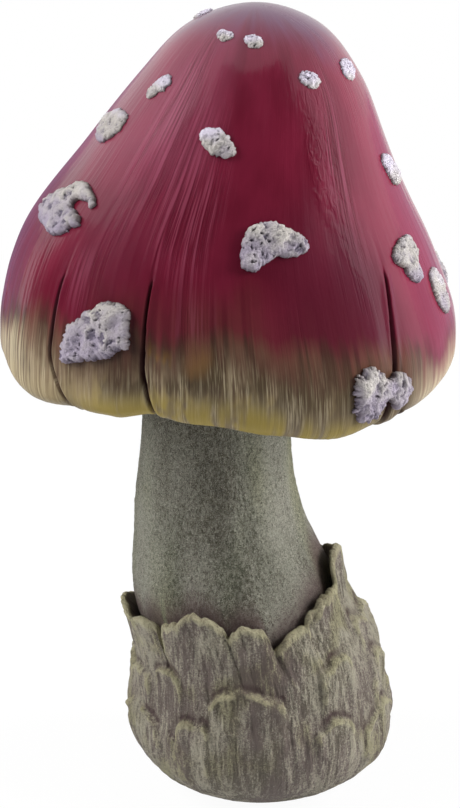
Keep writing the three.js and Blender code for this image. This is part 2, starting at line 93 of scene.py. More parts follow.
# Depth of a split, the hollow round it, the lip beside it and the crease above it, in millimetres, and
# the share of the lip that its left side has
SPLIT_DEPTH = 4.5
HOLLOW_DEPTH = 1.1
HOLLOW_WIDTH = 7
EDGE_LIP = 0.55
EDGE_LIP_AWAY = 1.3
EDGE_LIP_WIDTH = 1.4
EDGE_LIP_LEFT = 0.35
CREASE_DEPTH = 0.35
CREASE_WIDTH = 1.1

# Waves of the rim left and right of the front: bearing, width and how far the rim hangs
RIM_WAVES = [(-102, 8.5, 2.6), (-73, 8, -1.6)]

# Share of the outline at which the red paint fades out, by bearing
FADE_LINE = [
    (-172, 0.838), (-160, 0.825), (-150, 0.812), (-142, 0.806), (-134, 0.804), (-120, 0.806),
    (-106, 0.803), (-98, 0.796), (-92, 0.791), (-85, 0.786), (-80, 0.796), (-75, 0.814), (-66, 0.82),
    (-58, 0.823), (-50, 0.838), (-43, 0.866), (-37, 0.884), (-30, 0.89), (-20, 0.892), (-8, 0.886),
    (8, 0.856), (40, 0.82), (80, 0.81), (120, 0.83), (165, 0.84),
]

# Fold in the skin, right of the front: share and bearing of its line
FOLD = [(0.267, -65.5), (0.339, -65.8), (0.403, -64), (0.488, -62), (0.542, -59), (0.597, -56), (0.67, -53.5)]

# Zones of the skin, as bearing and width: the front and the right, where the folds are low, and the patches
# of combed fibres, of which the far one has a share and a height too
CALM_FRONT = -72
CALM_RIGHT = (-32, 26)
COMBED_LEFT = (-112, 24)
COMBED_FAR_LEFT = (-140, 14)
COMBED_FAR_SHARE = 0.68
COMBED_FAR_HEIGHT = 0.08

# Mesh of the cap: its rings inside, at the lip and outside, and how its columns gather at the splits
INSIDE_SHARES = [0, 0.1, 0.28, 0.5, 0.67, 0.8, 0.94, 1]
LIP_RINGS = [(LIP_INNER, CAP_DEPTH - LIP_HEIGHT), (LIP_INNER, CAP_DEPTH - LIP_BEVEL)]
SKIN_SHARES = np.concatenate([np.linspace(0, 0.6, 38, endpoint=False), np.linspace(0.6, 1, 58)])[::-1]
CAP_COLUMNS = 840
GATHERING = 0.55
GATHERING_WIDTH = 3.2
FOLLOWING_WIDTH = 14

# Gill plate
PLATE_RECESS = 12.0
PLATE_THICKNESS = 7.0
PLATE_INNER = 34.6
PLATE_OUTER = 91.1
GILL_DEPTH = 4.0
GILL_COUNT = 96
COLUMNS_PER_GILL = 10
SHORT_GILL_START = 0.3
SHORT_GILL_FULL = 0.5
GILL_RINGS = np.array([0, 0.03, 0.07, 0.14, 0.24, 0.36, 0.5, 0.64, 0.76, 0.86, 0.93, 0.97, 1])

# Stem
STEM_FOOT = 56.4
STEM_TOP = 260.9
STEM_RADII = [(56, 46), (96, 49.5), (131, 41.2), (170, 35.6), (215.5, 34.2)]
STEM_FOOT_SHIFT = -5.0
STEM_TOP_SHIFT = -20.5
STEM_BEND_START = 56.0
STEM_BEND_END = 155.0
STEM_COLUMNS = 360
STEM_RINGS = 150
STEM_SEEN_FROM = 84
STEM_SEEN_TO = 226
STEM_SUNK = 0.2
# Height of the painted shade above the collar
COLLAR_SHADE_HEIGHT = 9
FLUTE = (-80, 5)
FLUTE_DEPTH = 0.9
FLUTE_MIDDLE = 150
FLUTE_LEAN = 0.03

# Bulb
FOOT_RADIUS = 35.0
BULB_RADIUS = 63.0
BULB_WIDEST = 32.0
BULB_ROUNDNESS = 2.5
SHOULDER_RADIUS = 58.6
SHOULDER_HEIGHT = 66.0
SHOULDER_SHIFT = -1.0
BULB_SHIFT = [(0, 0), (20, 1), (66, SHOULDER_SHIFT)]
SEAT_HEIGHT = 56.0
SEAT_EDGE_HEIGHT = 68.0
POCKET_RADIUS = 30.0
POCKET_HEIGHT = 48.0
COLLAR_ROOT = 80.0
COLLAR_NECK = 97.0
COLLAR_BOW = 0.25
SHOULDER_REACH = 1.2
PETAL_THICKNESS = 3.4
GLUE_GAP = 0.4
BULB_MEAN_RADIUS = 60.0

# Mesh of the bulb, from below: radius and height of the pocket's rings, heights on the body, steps up the
# collar, over its edge and down its inside, and the seat's rings, as distance off the stem and height
POCKET = [(0, POCKET_HEIGHT), (POCKET_RADIUS, POCKET_HEIGHT), (POCKET_RADIUS, 0)]
BODY_HEIGHTS = np.concatenate([np.linspace(0, 12, 14), np.linspace(12.9, SHOULDER_HEIGHT, 66)])
COLLAR_STEPS = np.linspace(0, 1, 46)[1:]
EDGE_STEPS = np.linspace(0, 1, 6)[1:-1]
INNER_STEPS = np.linspace(1, 0, 16)
SEAT = [(GLUE_GAP, SEAT_EDGE_HEIGHT), (GLUE_GAP, SEAT_HEIGHT), (-STEM_RADII[0][1], SEAT_HEIGHT)]
BULB_COLUMNS = 600

# How far the columns move towards the front, in degrees
FRONT_GATHERING = 14

# Edge of the collar seen from the front: bearing and height
COLLAR_EDGE = [
    (-205, 82), (-196, 86.5), (-186, 90.5), (-176, 93), (-166, 92.6), (-158, 90.6), (-154.4, 88.6),
    (-152.5, 88), (-149.5, 93), (-145.5, 95.6), (-141.6, 96), (-136.4, 95.5), (-134.4, 93),
    (-133.2, 82.5), (-132, 83.5), (-130.8, 94), (-129.4, 96), (-126, 95.6), (-123.3, 97.6),
    (-120.6, 97.6), (-118.2, 100.2), (-114.5, 103), (-110.8, 104.2), (-107.6, 102.2), (-105, 103),
    (-101.2, 101.6), (-98.6, 99.6), (-96.6, 98.4), (-95.2, 93.7), (-94, 94.8), (-92.4, 97), (-89.3, 97.8),
    (-86.6, 99.8), (-84.2, 99.3), (-82.4, 98.2), (-79.6, 98.2), (-76.4, 97), (-75, 92.9), (-74.2, 86.7),
    (-72, 88.4), (-68.8, 90.6), (-65.6, 92.8), (-62.6, 94), (-58.2, 95.5), (-55.2, 96.3), (-53.6, 95.4),
    (-52.2, 98.5), (-49.3, 101), (-45.6, 101.4), (-43, 103.6), (-38.1, 105.9), (-34.4, 105.6),
    (-31.1, 107.5), (-28, 106.6), (-25.4, 108), (-23, 113), (-20, 116), (-15, 119), (-8, 120), (-2, 119),
    (4, 117), (10, 113.6), (18, 111), (26, 108.6), (33, 105.6), (37, 103), (41, 103.6), (46, 106.4),
    (55, 105), (62, 99), (66, 88), (71, 96), (80, 98.4), (88, 95), (93, 88), (97, 101), (107, 106),
    (116, 103), (121, 90), (126, 92.6), (134, 94), (141, 91), (146, 85.6), (150, 88),
]

# How far the collar's edge stands out from the stem: bearing and distance
COLLAR_GAP = [
    (-180, 6.6), (-160, 6.8), (-148, 7.2), (-139, 7.2), (-133, 5.4), (-113, 5), (-84, 5), (-62, 5),
    (-52, 5.4), (-40, 6.4), (-28, 7), (-16, 9), (-4, 9.8), (10, 8.4), (23, 7), (50, 8), (80, 6), (108, 7),
    (134, 6), (158, 6),
]

# Raggedness of the collar's edge: height, fineness and number of the pattern
COLLAR_RAGS = [(0.9, 22, 5), (0.7, 9, 2)]

# How far the collar leans out towards its edge, per height
COLLAR_FLARE = [(-180, 0.12), (-40, 0.12), (-24, 0.24), (-4, 0.34), (16, 0.2), (36, 0.12)]

# Flaps of the bulb's skin: how far one stands proud, how far down it fades out, and the bearings and
# heights along its upper edge
FLAPS = [
    (2.6, 44, [(-114.6, 58), (-113, 62.6), (-109.5, 66.1), (-104.2, 69.3), (-96.8, 71.2), (-90.5, 70.2),
        (-86.4, 67.3), (-83.4, 66.6), (-80.3, 65.6), (-77, 61), (-75.6, 56)]),
    (2.6, 36, [(-130.6, 38), (-130, 44.6), (-127.8, 49.1), (-123.7, 52.2), (-120.5, 51.6), (-115.7, 52.8),
        (-112.4, 48.6), (-111, 42)]),
    (2.4, 26, [(-145.4, 62), (-143.6, 69), (-139.6, 72.6), (-135.9, 74.4), (-130.1, 73.8), (-126.6, 70.2),
        (-124.8, 63)]),
    (2.4, 26, [(-171, 58), (-167.8, 63.3), (-163, 66.4), (-158.9, 65.9), (-153, 67.4), (-148.2, 65.2),
        (-146, 58)]),
    (2.4, 30, [(-172, 40), (-167, 46.5), (-161.4, 48.2), (-155.7, 49.6), (-150, 47.6), (-145.4, 45.6),
        (-139.4, 41), (-137.6, 34)]),
    (1.8, 20, [(-136.8, 35), (-136.2, 40.4), (-133.1, 41.3), (-129.6, 38.1), (-128.6, 33)]),
    (2.4, 30, [(-61, 54), (-60.6, 63), (-59.4, 70.1), (-57, 74), (-54.1, 76.1), (-50, 77.6),
        (-46.4, 80.6), (-40, 80.4), (-36, 74)]),
    (2.6, 30, [(-66.4, 38), (-65.8, 44), (-64.5, 48.1), (-62, 48.6), (-59.8, 49.8), (-56.2, 52.2),
        (-52.3, 53), (-46, 49), (-43, 41)]),
    (2, 40, [(-29, 34), (-27.9, 41.1), (-27.4, 49), (-26.4, 55.6), (-23, 66), (-18.1, 73.5), (-10, 72),
        (-4, 62)]),
    (2.8, 40, [(-25.6, 78), (-24, 87), (-19, 91), (-8, 86), (-2, 88.4), (6, 89.4), (12, 86), (17, 76)]),
    (2.2, 40, [(-41, 30), (-38, 39), (-30, 46), (-22, 50), (-14, 47), (-8, 38)]),
    (2.4, 44, [(2, 44), (8, 52), (15, 55.6), (24, 56.2), (32, 52), (38, 42)]),
    (2.4, 44, [(37, 62), (42, 71), (50, 75.4), (57, 75.8), (63, 71), (67, 60)]),
    (2.6, 46, [(65, 46), (71, 56), (79, 61.4), (88, 62.2), (97, 56), (103, 46)]),
    (2.4, 44, [(103, 64), (108, 73), (116, 76.6), (123, 76.8), (129, 71), (133, 61)]),
    (2.4, 38, [(126, 38), (131, 46), (138, 50), (145, 49.6), (150, 44), (154, 34)]),
    (2.4, 44, [(158, 54), (163, 62), (170, 65.6), (178, 66), (184, 61), (187, 51)]),
    (2.2, 34, [(88, 30), (95, 38), (104, 41.6), (112, 40), (118, 31)]),
    (2.2, 34, [(36, 26), (42, 35), (50, 38.6), (58, 37), (64, 28)]),
    (1.2, 20, [(-153.4, 76), (-152.6, 88), (-148, 99), (-137, 99), (-134.6, 92), (-134, 80)]),
    (1.5, 28, [(-133.6, 74), (-133.2, 86), (-131, 99), (-112, 108), (-99, 103), (-95.6, 93), (-95, 80)]),
    (1.8, 26, [(-95.6, 76), (-95.2, 92), (-93, 101), (-84, 103), (-76, 101), (-74.6, 90), (-75.4, 77)]),
    (1.6, 26, [(-74, 72), (-73.2, 86), (-68.8, 93), (-62, 97), (-54, 99.5), (-52.6, 92), (-52.2, 76)]),
    (2, 30, [(-52, 76), (-51.6, 97), (-43, 107), (-32, 111), (-26.6, 109), (-25.6, 96), (-25.4, 82)]),
]
FLAP_MARGIN = 8
FLAP_END = 4
EDGE_IN = 1.5

# Warts: bearing and share of the middle, thickness, and either the half length, half width and turn of an
# oval, or the outline about the middle, to the right and downwards
WARTS = {
    "crown_left": (-119.3, 0.139, 2.2, [(-2.7, 1.4), (-2.6, -1.2), (-0.2, -2.3), (3.8, -0.8), (5.4, 1.5),
        (4.3, 4), (1.5, 4.9)]),
    "crown_right": (-91.2, 0.153, 2.2, [(-4.4, 0.5), (-2.5, -2.4), (0.5, -3.1), (3.5, -0.1), (4.5, 2.7),
        (2.1, 4.7), (-1.7, 4.2)]),
    "crown_back": (160, 0.12, 2.4, (5, 4.4, 0)),
    "shoulder_left": (-147.5, 0.288, 2.8, [(-1, 4.8), (-2.9, 1.8), (-1.1, -2.5), (2.1, -6.2), (6.1, -6.5),
        (8.8, -3.5), (7.5, -1.3), (7.8, 1.1), (4.8, 2.2), (2.4, 5.6)]),
    "shoulder_right": (-56, 0.257, 2.4, [(-5.1, -3.7), (-1.3, -4.7), (2.9, -3.1), (5, 0.5), (3.6, 3.2),
        (-0.9, 4), (-3.5, 2.6), (-5.4, -0.9)]),
    "shoulder_far_right": (-22, 0.255, 2.4, [(-3.4, -5), (3, -5), (6.1, -1.1), (3.6, 4), (-2.5, 5.5),
        (-5.8, 1.7)]),
    "flank_left": (-161, 0.39, 3, [(-4.6, 7.9), (-14.2, 4), (-11.9, -2.6), (-1.6, -7.2), (8.4, -7.2),
        (10.7, -2.4), (9.6, 2.9), (4.1, 7.7)]),
    "front_middle": (-99.8, 0.38, 3.4, [(-9.5, -2.5), (-8.4, -5.2), (-5.3, -6.4), (-1.3, -5.7),
        (1.8, -3.6), (4.3, -2), (8.2, 3.2), (7.4, 6.2), (3, 7.2), (-1.5, 6.1), (-6.2, 2.9)]),
    "flank_right": (-15, 0.51, 2.4, [(-4.4, -11.3), (2.2, -7.5), (7.7, 0.2), (5.4, 6.2), (-3.9, 5),
        (-6.9, -1.9), (-8.7, -8.5)]),
    "hooked": (-150.7, 0.564, 4, [(-16.8, 11.1), (-21.7, 7.7), (-19.7, 0.2), (-8.7, -6.9), (-4.2, -10.6),
        (3.5, -12), (14.3, -7.4), (17.3, -3.7), (15.5, -2.8), (11.3, -4.7), (6.1, -4.4), (3.1, -2.8),
        (4.7, -0.7), (9.5, 0.5), (13.7, 2.4), (16.3, 5.6), (11, 7.8), (11.3, 9.6), (5.9, 12.3),
        (-0.3, 13.4), (-6.7, 11.9)]),
    "crescent": (-76.2, 0.589, 4.4, [(-13.9, 8.4), (-12.8, 10.5), (-10.3, 11.3), (-7, 10.9), (-5.3, 9.7),
        (-0.9, 7.4), (2.6, 5.4), (7.8, 6.6), (12.8, 5.4), (15.6, 4), (15.2, 0.6), (13.4, -1.7),
        (10.2, -3.6), (4.8, -6.7), (-0.8, -9.2), (-5.1, -9), (-8.4, -8.2), (-11.2, -5.2), (-13.3, 1.2)]),
    "right_upper": (-31, 0.672, 3.4, [(-8, -2.2), (-3.6, -6), (4.8, -8.3), (9.6, -7.4), (11.5, -4.5),
        (13, 0.1), (9, 5.1), (9.6, 11), (6, 12.6), (1.8, 11.4), (-1.7, 8.3), (-3.6, 3.4), (-7, 1.2)]),
    "right_lower": (-16.5, 0.775, 2.6, (10.4, 7.6, 80)),
    "large_front": (-124.8, 0.785, 4.8, [(-14.6, 16.4), (-14.7, 12.7), (-14, 7.1), (-12.2, 0.8),
        (-9.6, -1.9), (-6.5, -3.7), (-3.7, -7.2), (0.7, -9.1), (4.2, -12.2), (7.9, -13.2), (14.3, -13),
        (18.8, -9), (19, -4.7), (19.8, 2.6), (19.7, 7.3), (16.9, 6.5), (15.1, 7.8), (10.6, 11.1),
        (4.1, 12.4), (-1, 13.6), (-6.4, 15.2), (-11, 16.5)]),
    "bridging": (-51.2, 0.905, 4.2, [(-15.8, 1.3), (-14.8, -2.3), (-15, -7.6), (-12.7, -12),
        (-9.8, -13.6), (-4.5, -13.6), (-0.5, -11.7), (1.8, -9.3), (4.5, -7.1), (7.1, -8.6), (10.8, -9),
        (14.4, -6.5), (18.2, -2.7), (18.4, 3), (15.1, 6.8), (9.6, 5.5), (5.5, 3.4), (4.7, 0.3), (3, 1.7),
        (0.9, 4.6), (-1.8, 7.4), (-8.3, 7.4), (-13.5, 5.4)]),
    "back_upper_right": (28, 0.33, 2.8, (8, 6, 40)),
    "back_upper_middle": (86, 0.27, 2.6, (7.4, 5.4, -20)),
    "back_upper_left": (137, 0.36, 3, (9.6, 6.4, 30)),
    "back_middle_right": (46, 0.56, 3.8, (14, 9.4, -30)),
    "back_middle": (101, 0.52, 3.2, (10, 7.4, 15)),
    "back_middle_left": (147, 0.64, 4, (15, 10, 25)),
    "right_flank_low": (19, 0.83, 4, (14, 10, 40)),
    "back_low_right": (72, 0.79, 4.4, (17, 11.5, -25)),
    "back_low_left": (127, 0.83, 3.8, (12.5, 9.4, 70)),
    "left_flank_low": (161, 0.86, 3.8, (13, 9.6, -30)),
}

# Length of the spikes on the warts' edges, and of the named ones
WART_SPIKE = 0.9
WART_SPIKES = {"bridging": 2.6, "large_front": 1.2}

# Mesh of the warts: step along the outline, cell, and how near the outline a cell is cut, in cells
EDGE_STEP = 0.35
WART_CELL = 0.38
WART_TRIM = 0.1

# Lift of a wart's underside, least lift of its top, and the half heights of the smallest and largest warts
WART_FOOT = -0.9
WART_LEAST = 0.25
WART_SIZES = (4, 13)

# Bearing and width of the cap's lit right side, where the warts are paler
LIT_SIDE = (-15, 22)


# Curves and noise

OCTAVE_SMOOTHNESS = 0.9
OCTAVE_STEP = 2.1
TAG_STEP = 7.3


def eased(x, low, high):
    """Smooth rise from 0 at low to 1 at high."""
    t = np.clip((x - low) / (high - low), 0, 1)
    return t * t * (3 - 2 * t)


def bell(x, width):
    """Bell curve, 1 in the middle."""
    return np.exp(-((x / width) ** 2))


def turn(start, end):
    """Smallest turn from one bearing to another, between -180 and 180."""
    return (end - start + 180) % 360 - 180


def patch(bearing, middle, width):
    """Bell curve over the bearings beside a middle one."""
    return bell(turn(middle, bearing), width)


def along(knots, place):
    """Value at each place on a smooth line through knots, level past both ends."""
    at, value = np.array(knots, float).T
    last = len(at) - 1
    i = np.clip(np.searchsorted(at, place, side="right") - 1, 0, last - 1)
    span = at[i + 1] - at[i]

    def slope(k):
        before, after = np.maximum(k - 1, 0), np.minimum(k + 1, last)
        return (value[after] - value[before]) / (at[after] - at[before]) * span

    t = np.clip((place - at[i]) / span, 0, 1)
    rise = value[i] + (value[i + 1] - value[i]) * t * t * (3 - 2 * t)
    return rise + t * (1 - t) * (slope(i) * (1 - t) - slope(i + 1) * t)


def round_line(knots, bearing):
    """Value at each bearing on straight lines between knots that go once round."""
    at, value = np.array(knots, float).T
    return np.interp(bearing, at, value, period=360)


def curve(points, t):
    """Places on a smooth curve, at t of the way from start to end.

    Points are the one before the start, the start, the end and the one after it."""
    before, start, end, after = points
    leave, arrive = (end - before) / 2, (after - start) / 2
    bend = (2 * start - 2 * end + leave + arrive) * t**3
    return bend + (3 * end - 3 * start - 2 * leave - arrive) * t**2 + leave * t + start


def listed(x, y, z):
    """Coordinates, some of which may be single numbers, as a list of points."""
    return np.stack(np.broadcast_arrays(x, y, z), -1).reshape(-1, 3).tolist()


def grain(fineness, x, y, z, octaves=1):
    """Smooth noise, between about -1 and 1, whose fineness is that across x and y."""
    points = listed(x * fineness, y * fineness, z)
    if octaves == 1:
        return np.array([noise.noise(point) for point in points])
    return np.array([noise.fractal(point, OCTAVE_SMOOTHNESS, OCTAVE_STEP, octaves) for point in points])


def cells(fineness, x, y, z):
    """Distances from each point to the two nearest of scattered seeds, and the tag of the nearest."""
    near, second, tag = [], [], []
    for point in listed(x * fineness, y * fineness, z):
        distances, seeds = noise.voronoi(point)
        near.append(distances[0])
        second.append(distances[1])
        tag.append(noise.cell(seeds[0] * TAG_STEP))
    return np.array(near), np.array(second), np.array(tag)


def around(x, radius, bearing, z):
    """Points at a radius and bearing round a vertical axis that stands at x."""
    angle = np.radians(bearing)
    return np.stack(np.broadcast_arrays(x + radius * np.cos(angle), radius * np.sin(angle), z), -1)


# Surfaces that the pieces follow


def outline_table():
    """The cap's outline from crown to lip: share of its length, radius, depth, direction, and its length."""
    half = np.array(CAP_OUTLINE) * (CAP_RADIUS, CAP_DEPTH)
    knots = np.concatenate([half[::-1] * (-1, 1), [[0, 0]], half])
    last = len(knots) - 1
    t = np.linspace(0.5, 1, OUTLINE_STEPS) * last
    i = np.minimum(t.astype(int), last - 1)
    points = curve([knots[np.clip(i + k, 0, last)] for k in (-1, 0, 1, 2)], (t - i)[:, None])
    steps = np.hypot(*np.diff(points, axis=0).T)
    length = np.concatenate([[0], np.cumsum(steps)])
    course = np.gradient(points, length, axis=0)
    return length / length[-1], points.T, course.T, length[-1]


SHARES, OUTLINE_POINTS, OUTLINE_COURSE, OUTLINE_LENGTH = outline_table()


def outline(share):
    """Radius, depth and direction of the cap's outline at each share."""
    columns = (*OUTLINE_POINTS, *OUTLINE_COURSE)
    return [np.interp(share, SHARES, column) for column in columns]


def hang(bearing):
    """How far the rim hangs below its mean height at each bearing."""
    knots = [knot for lobe in LOBES for knot in (lobe[0:2], lobe[2:4])]
    first = knots[0][0]
    at, value = np.array([*knots, (first + 360, knots[0][1])], float).T
    place = first + (bearing - first) % 360
    i = np.clip(np.searchsorted(at, place, side="right") - 1, 0, len(at) - 2)
    t = (place - at[i]) / (at[i + 1] - at[i])
    wave = sum(drop * patch(bearing, middle, width) for middle, width, drop in RIM_WAVES)
    return value[i] + (value[i + 1] - value[i]) * (1 - np.cos(np.pi * t)) / 2 + wave


def bent(radius, depth, bearing):
    """Points of the plain bell, bent to its leaning crown and hanging lobes."""
    share = depth / CAP_DEPTH
    weight = np.clip((share - LOBE_START) / (1 - LOBE_START), 0, 1) ** 2
    z = RIM_HEIGHT + CAP_DEPTH - depth - hang(bearing) * weight
    return around(CAP_SHIFT + along(CAP_LEAN, share), radius, bearing, z)


def cap_point(bearing, share, lift):
    """Points on the cap at a bearing and a share of its outline, lifted off its skin."""
    radius, depth, across, down = outline(share)
    return bent(radius + down * lift, depth - across * lift, bearing)


def stem_radius(z):
    return along(STEM_RADII, z)


def stem_axis(z):
    """Where the middle of the stem stands at a height."""
    return STEM_FOOT_SHIFT + (STEM_TOP_SHIFT - STEM_FOOT_SHIFT) * eased(z, STEM_BEND_START, STEM_BEND_END)


def stem_point(bearing, z, off):
    """Points beside the stem at a height, standing off its skin."""
    return around(stem_axis(z), stem_radius(z) + off, bearing, z)


def collar_edge(bearing):
    """Height of the collar's ragged edge at each bearing."""
    x, y, _ = around(0, 1, bearing, 0).T
    ragged = sum(height * grain(fineness, x, y, number) for height, fineness, number in COLLAR_RAGS)
    return round_line(COLLAR_EDGE, bearing) + ragged


def cup_point(bearing, z, lift):
    """Points on the outside of the bulb and its collar at a height, lifted off its skin."""
    low = np.clip(1 - z / BULB_WIDEST, 0, 1)
    high = np.clip((z - BULB_WIDEST) / (SHOULDER_HEIGHT - BULB_WIDEST), 0, 1)
    belly = FOOT_RADIUS + (BULB_RADIUS - FOOT_RADIUS) * (1 - low**BULB_ROUNDNESS)
    narrowing = eased(high, 0, SHOULDER_REACH) / eased(1, 0, SHOULDER_REACH)
    radius = belly + (SHOULDER_RADIUS - BULB_RADIUS) * narrowing
    body = around(along(BULB_SHIFT, z), radius + lift, bearing, z)
    edge = collar_edge(bearing)
    gap, flare = round_line(COLLAR_GAP, bearing), round_line(COLLAR_FLARE, bearing)
    neck = np.minimum(edge, COLLAR_NECK)
    upper = stem_point(bearing, z, gap - flare * (edge - z) + lift)
    t = (z - SHOULDER_HEIGHT) / (neck - SHOULDER_HEIGHT)
    bow = t + (t * t - t) * COLLAR_BOW
    shoulder = around(SHOULDER_SHIFT, SHOULDER_RADIUS + lift, bearing, z)
    top = stem_point(bearing, neck, gap - flare * (edge - neck) + lift)
    middle = shoulder + (top - shoulder) * bow[:, None]
    middle[:, 2] = z
    above = np.where((z >= neck)[:, None], upper, middle)
    return np.where((z <= SHOULDER_HEIGHT)[:, None], body, above)


# Forms and pieces


def lathe(rings, steps, loop=False):
    """A grid rolled up into a form of revolution, with the ring number and the bearing of each vertex.

    Its first and last ring are points on the axis, or with loop they join each other."""
    form = bmesh.new()
    spans = rings if loop else rings - 1
    bmesh.ops.create_grid(form, x_segments=steps, y_segments=spans, size=0.5)
    for vert in form.verts:
        angle, level = math.tau * (vert.co.x + 0.5), (vert.co.y + 0.5) * spans
        radius, z = 1.0, level
        if loop:
            turn_of_level = math.tau * level / spans
            radius, z = 3 + math.sin(turn_of_level), -math.cos(turn_of_level)
        elif round(level) in (0, spans):
            radius = 0.0
        vert.co = (radius * math.cos(angle), radius * math.sin(angle), z)
    bmesh.ops.remove_doubles(form, verts=form.verts, dist=1e-4)
    bmesh.ops.recalc_face_normals(form, faces=form.faces)
    x, y, z = np.array([vert.co for vert in form.verts]).T
    if loop:
        z = np.arctan2(np.hypot(x, y) - 3, -z) % math.tau * spans / math.tau
    return form, np.rint(z).astype(int) % rings, np.degrees(np.arctan2(y, x))


def nearest_on(edge, spots):
    """Nearest place on a closed outline to each spot, and its distance, negative outside the outline."""
    start, end = edge, np.roll(edge, -1, axis=0)
    best, place = np.full(len(spots), np.inf), np.zeros_like(spots)
    inside = np.zeros(len(spots), bool)
    for a, b, course in zip(start, end, end - start):
        t = np.clip((spots - a) @ course / max(course @ course, 1e-12), 0, 1)
        foot = a + t[:, None] * course
        far = np.hypot(*(spots - foot).T)
        nearer = far < best
        best, place = np.where(nearer, far, best), np.where(nearer[:, None], foot, place)
        crossing = (a[1] > spots[:, 1]) != (b[1] > spots[:, 1])
        if course[1]:
            inside ^= crossing & (spots[:, 0] < a[0] + (spots[:, 1] - a[1]) * course[0] / course[1])
    return place, np.where(inside, best, -best)


def trimmed_slab(edge, cell):
    """A plate of square cells trimmed to a closed outline, with its underside at height 0 and its top at 1."""
    low, high = edge.min(0) - cell, edge.max(0) + cell
    counts = np.ceil((high - low) / cell).astype(int)
    form = bmesh.new()
    bmesh.ops.create_grid(form, x_segments=int(counts[0]), y_segments=int(counts[1]), size=0.5)
    size = counts * cell
    bmesh.ops.scale(form, vec=(*size, 1), verts=form.verts)
    bmesh.ops.translate(form, vec=(*(low + size / 2), 0), verts=form.verts)
    _, reach = nearest_on(edge, np.array([vert.co.xy for vert in form.verts]))
    outside = [vert for vert, far in zip(form.verts, reach) if far < WART_TRIM * cell]
    bmesh.ops.delete(form, geom=outside, context="VERTS")
    loose = [vert for vert in form.verts if not vert.link_faces]
    bmesh.ops.delete(form, geom=loose, context="VERTS")
    rim = [vert for vert in form.verts if vert.is_boundary]
    places, _ = nearest_on(edge, np.array([vert.co.xy for vert in rim]))
    for vert, place in zip(rim, places):
        vert.co.xy = place
    geom = form.verts[:] + form.edges[:] + form.faces[:]
    raised = bmesh.ops.extrude_face_region(form, geom=geom, use_keep_orig=True)["geom"]
    top = [item for item in raised if isinstance(item, bmesh.types.BMVert)]
    bmesh.ops.translate(form, vec=(0, 0, 1), verts=top)
    bmesh.ops.recalc_face_normals(form, faces=form.faces)
    return form, np.array([vert.co for vert in form.verts])


def make_object(name, mesh, finish):
    """Gives a mesh its finish and puts it in the scene as an object."""
    mesh.materials.append(finish)
    item = bpy.data.objects.new(name, mesh)
    bpy.context.scene.collection.objects.link(item)
    return item


def make_piece(name, form, points, finish, slot, nodes, **layers):
    """Makes a piece of a form whose vertices go to points, in millimetres, with layers as attributes."""
    mesh = bpy.data.meshes.new(name)
    form.to_mesh(mesh)
    form.free()
    mesh.vertices.foreach_set("co", points.ravel())
    mesh.transform(Matrix.Scale(1 / METRE, 4))
    for key, values in layers.items():
        flat = values.ndim == 1
        layer = mesh.attributes.new(key, "FLOAT" if flat else "FLOAT_VECTOR", "POINT")
        layer.data.foreach_set("value" if flat else "vector", values.ravel())
    mesh.polygons.foreach_set("use_smooth", [True] * len(mesh.polygons))
    mesh.update()
    piece = make_object(name, mesh, finish)
    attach(piece, "root")
    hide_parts(*nodes)


# Finishes


def paint(red, green, blue):
    """Linear colour of a colour written from 0 to 255."""
    shares = (red / 255, green / 255, blue / 255)
    return tuple(c / 12.92 if c <= 0.04045 else ((c + 0.055) / 1.055) ** 2.4 for c in shares)


def darker(tone, share):
    """A colour that keeps a share of its brightness."""
    return tuple(share * part for part in tone)


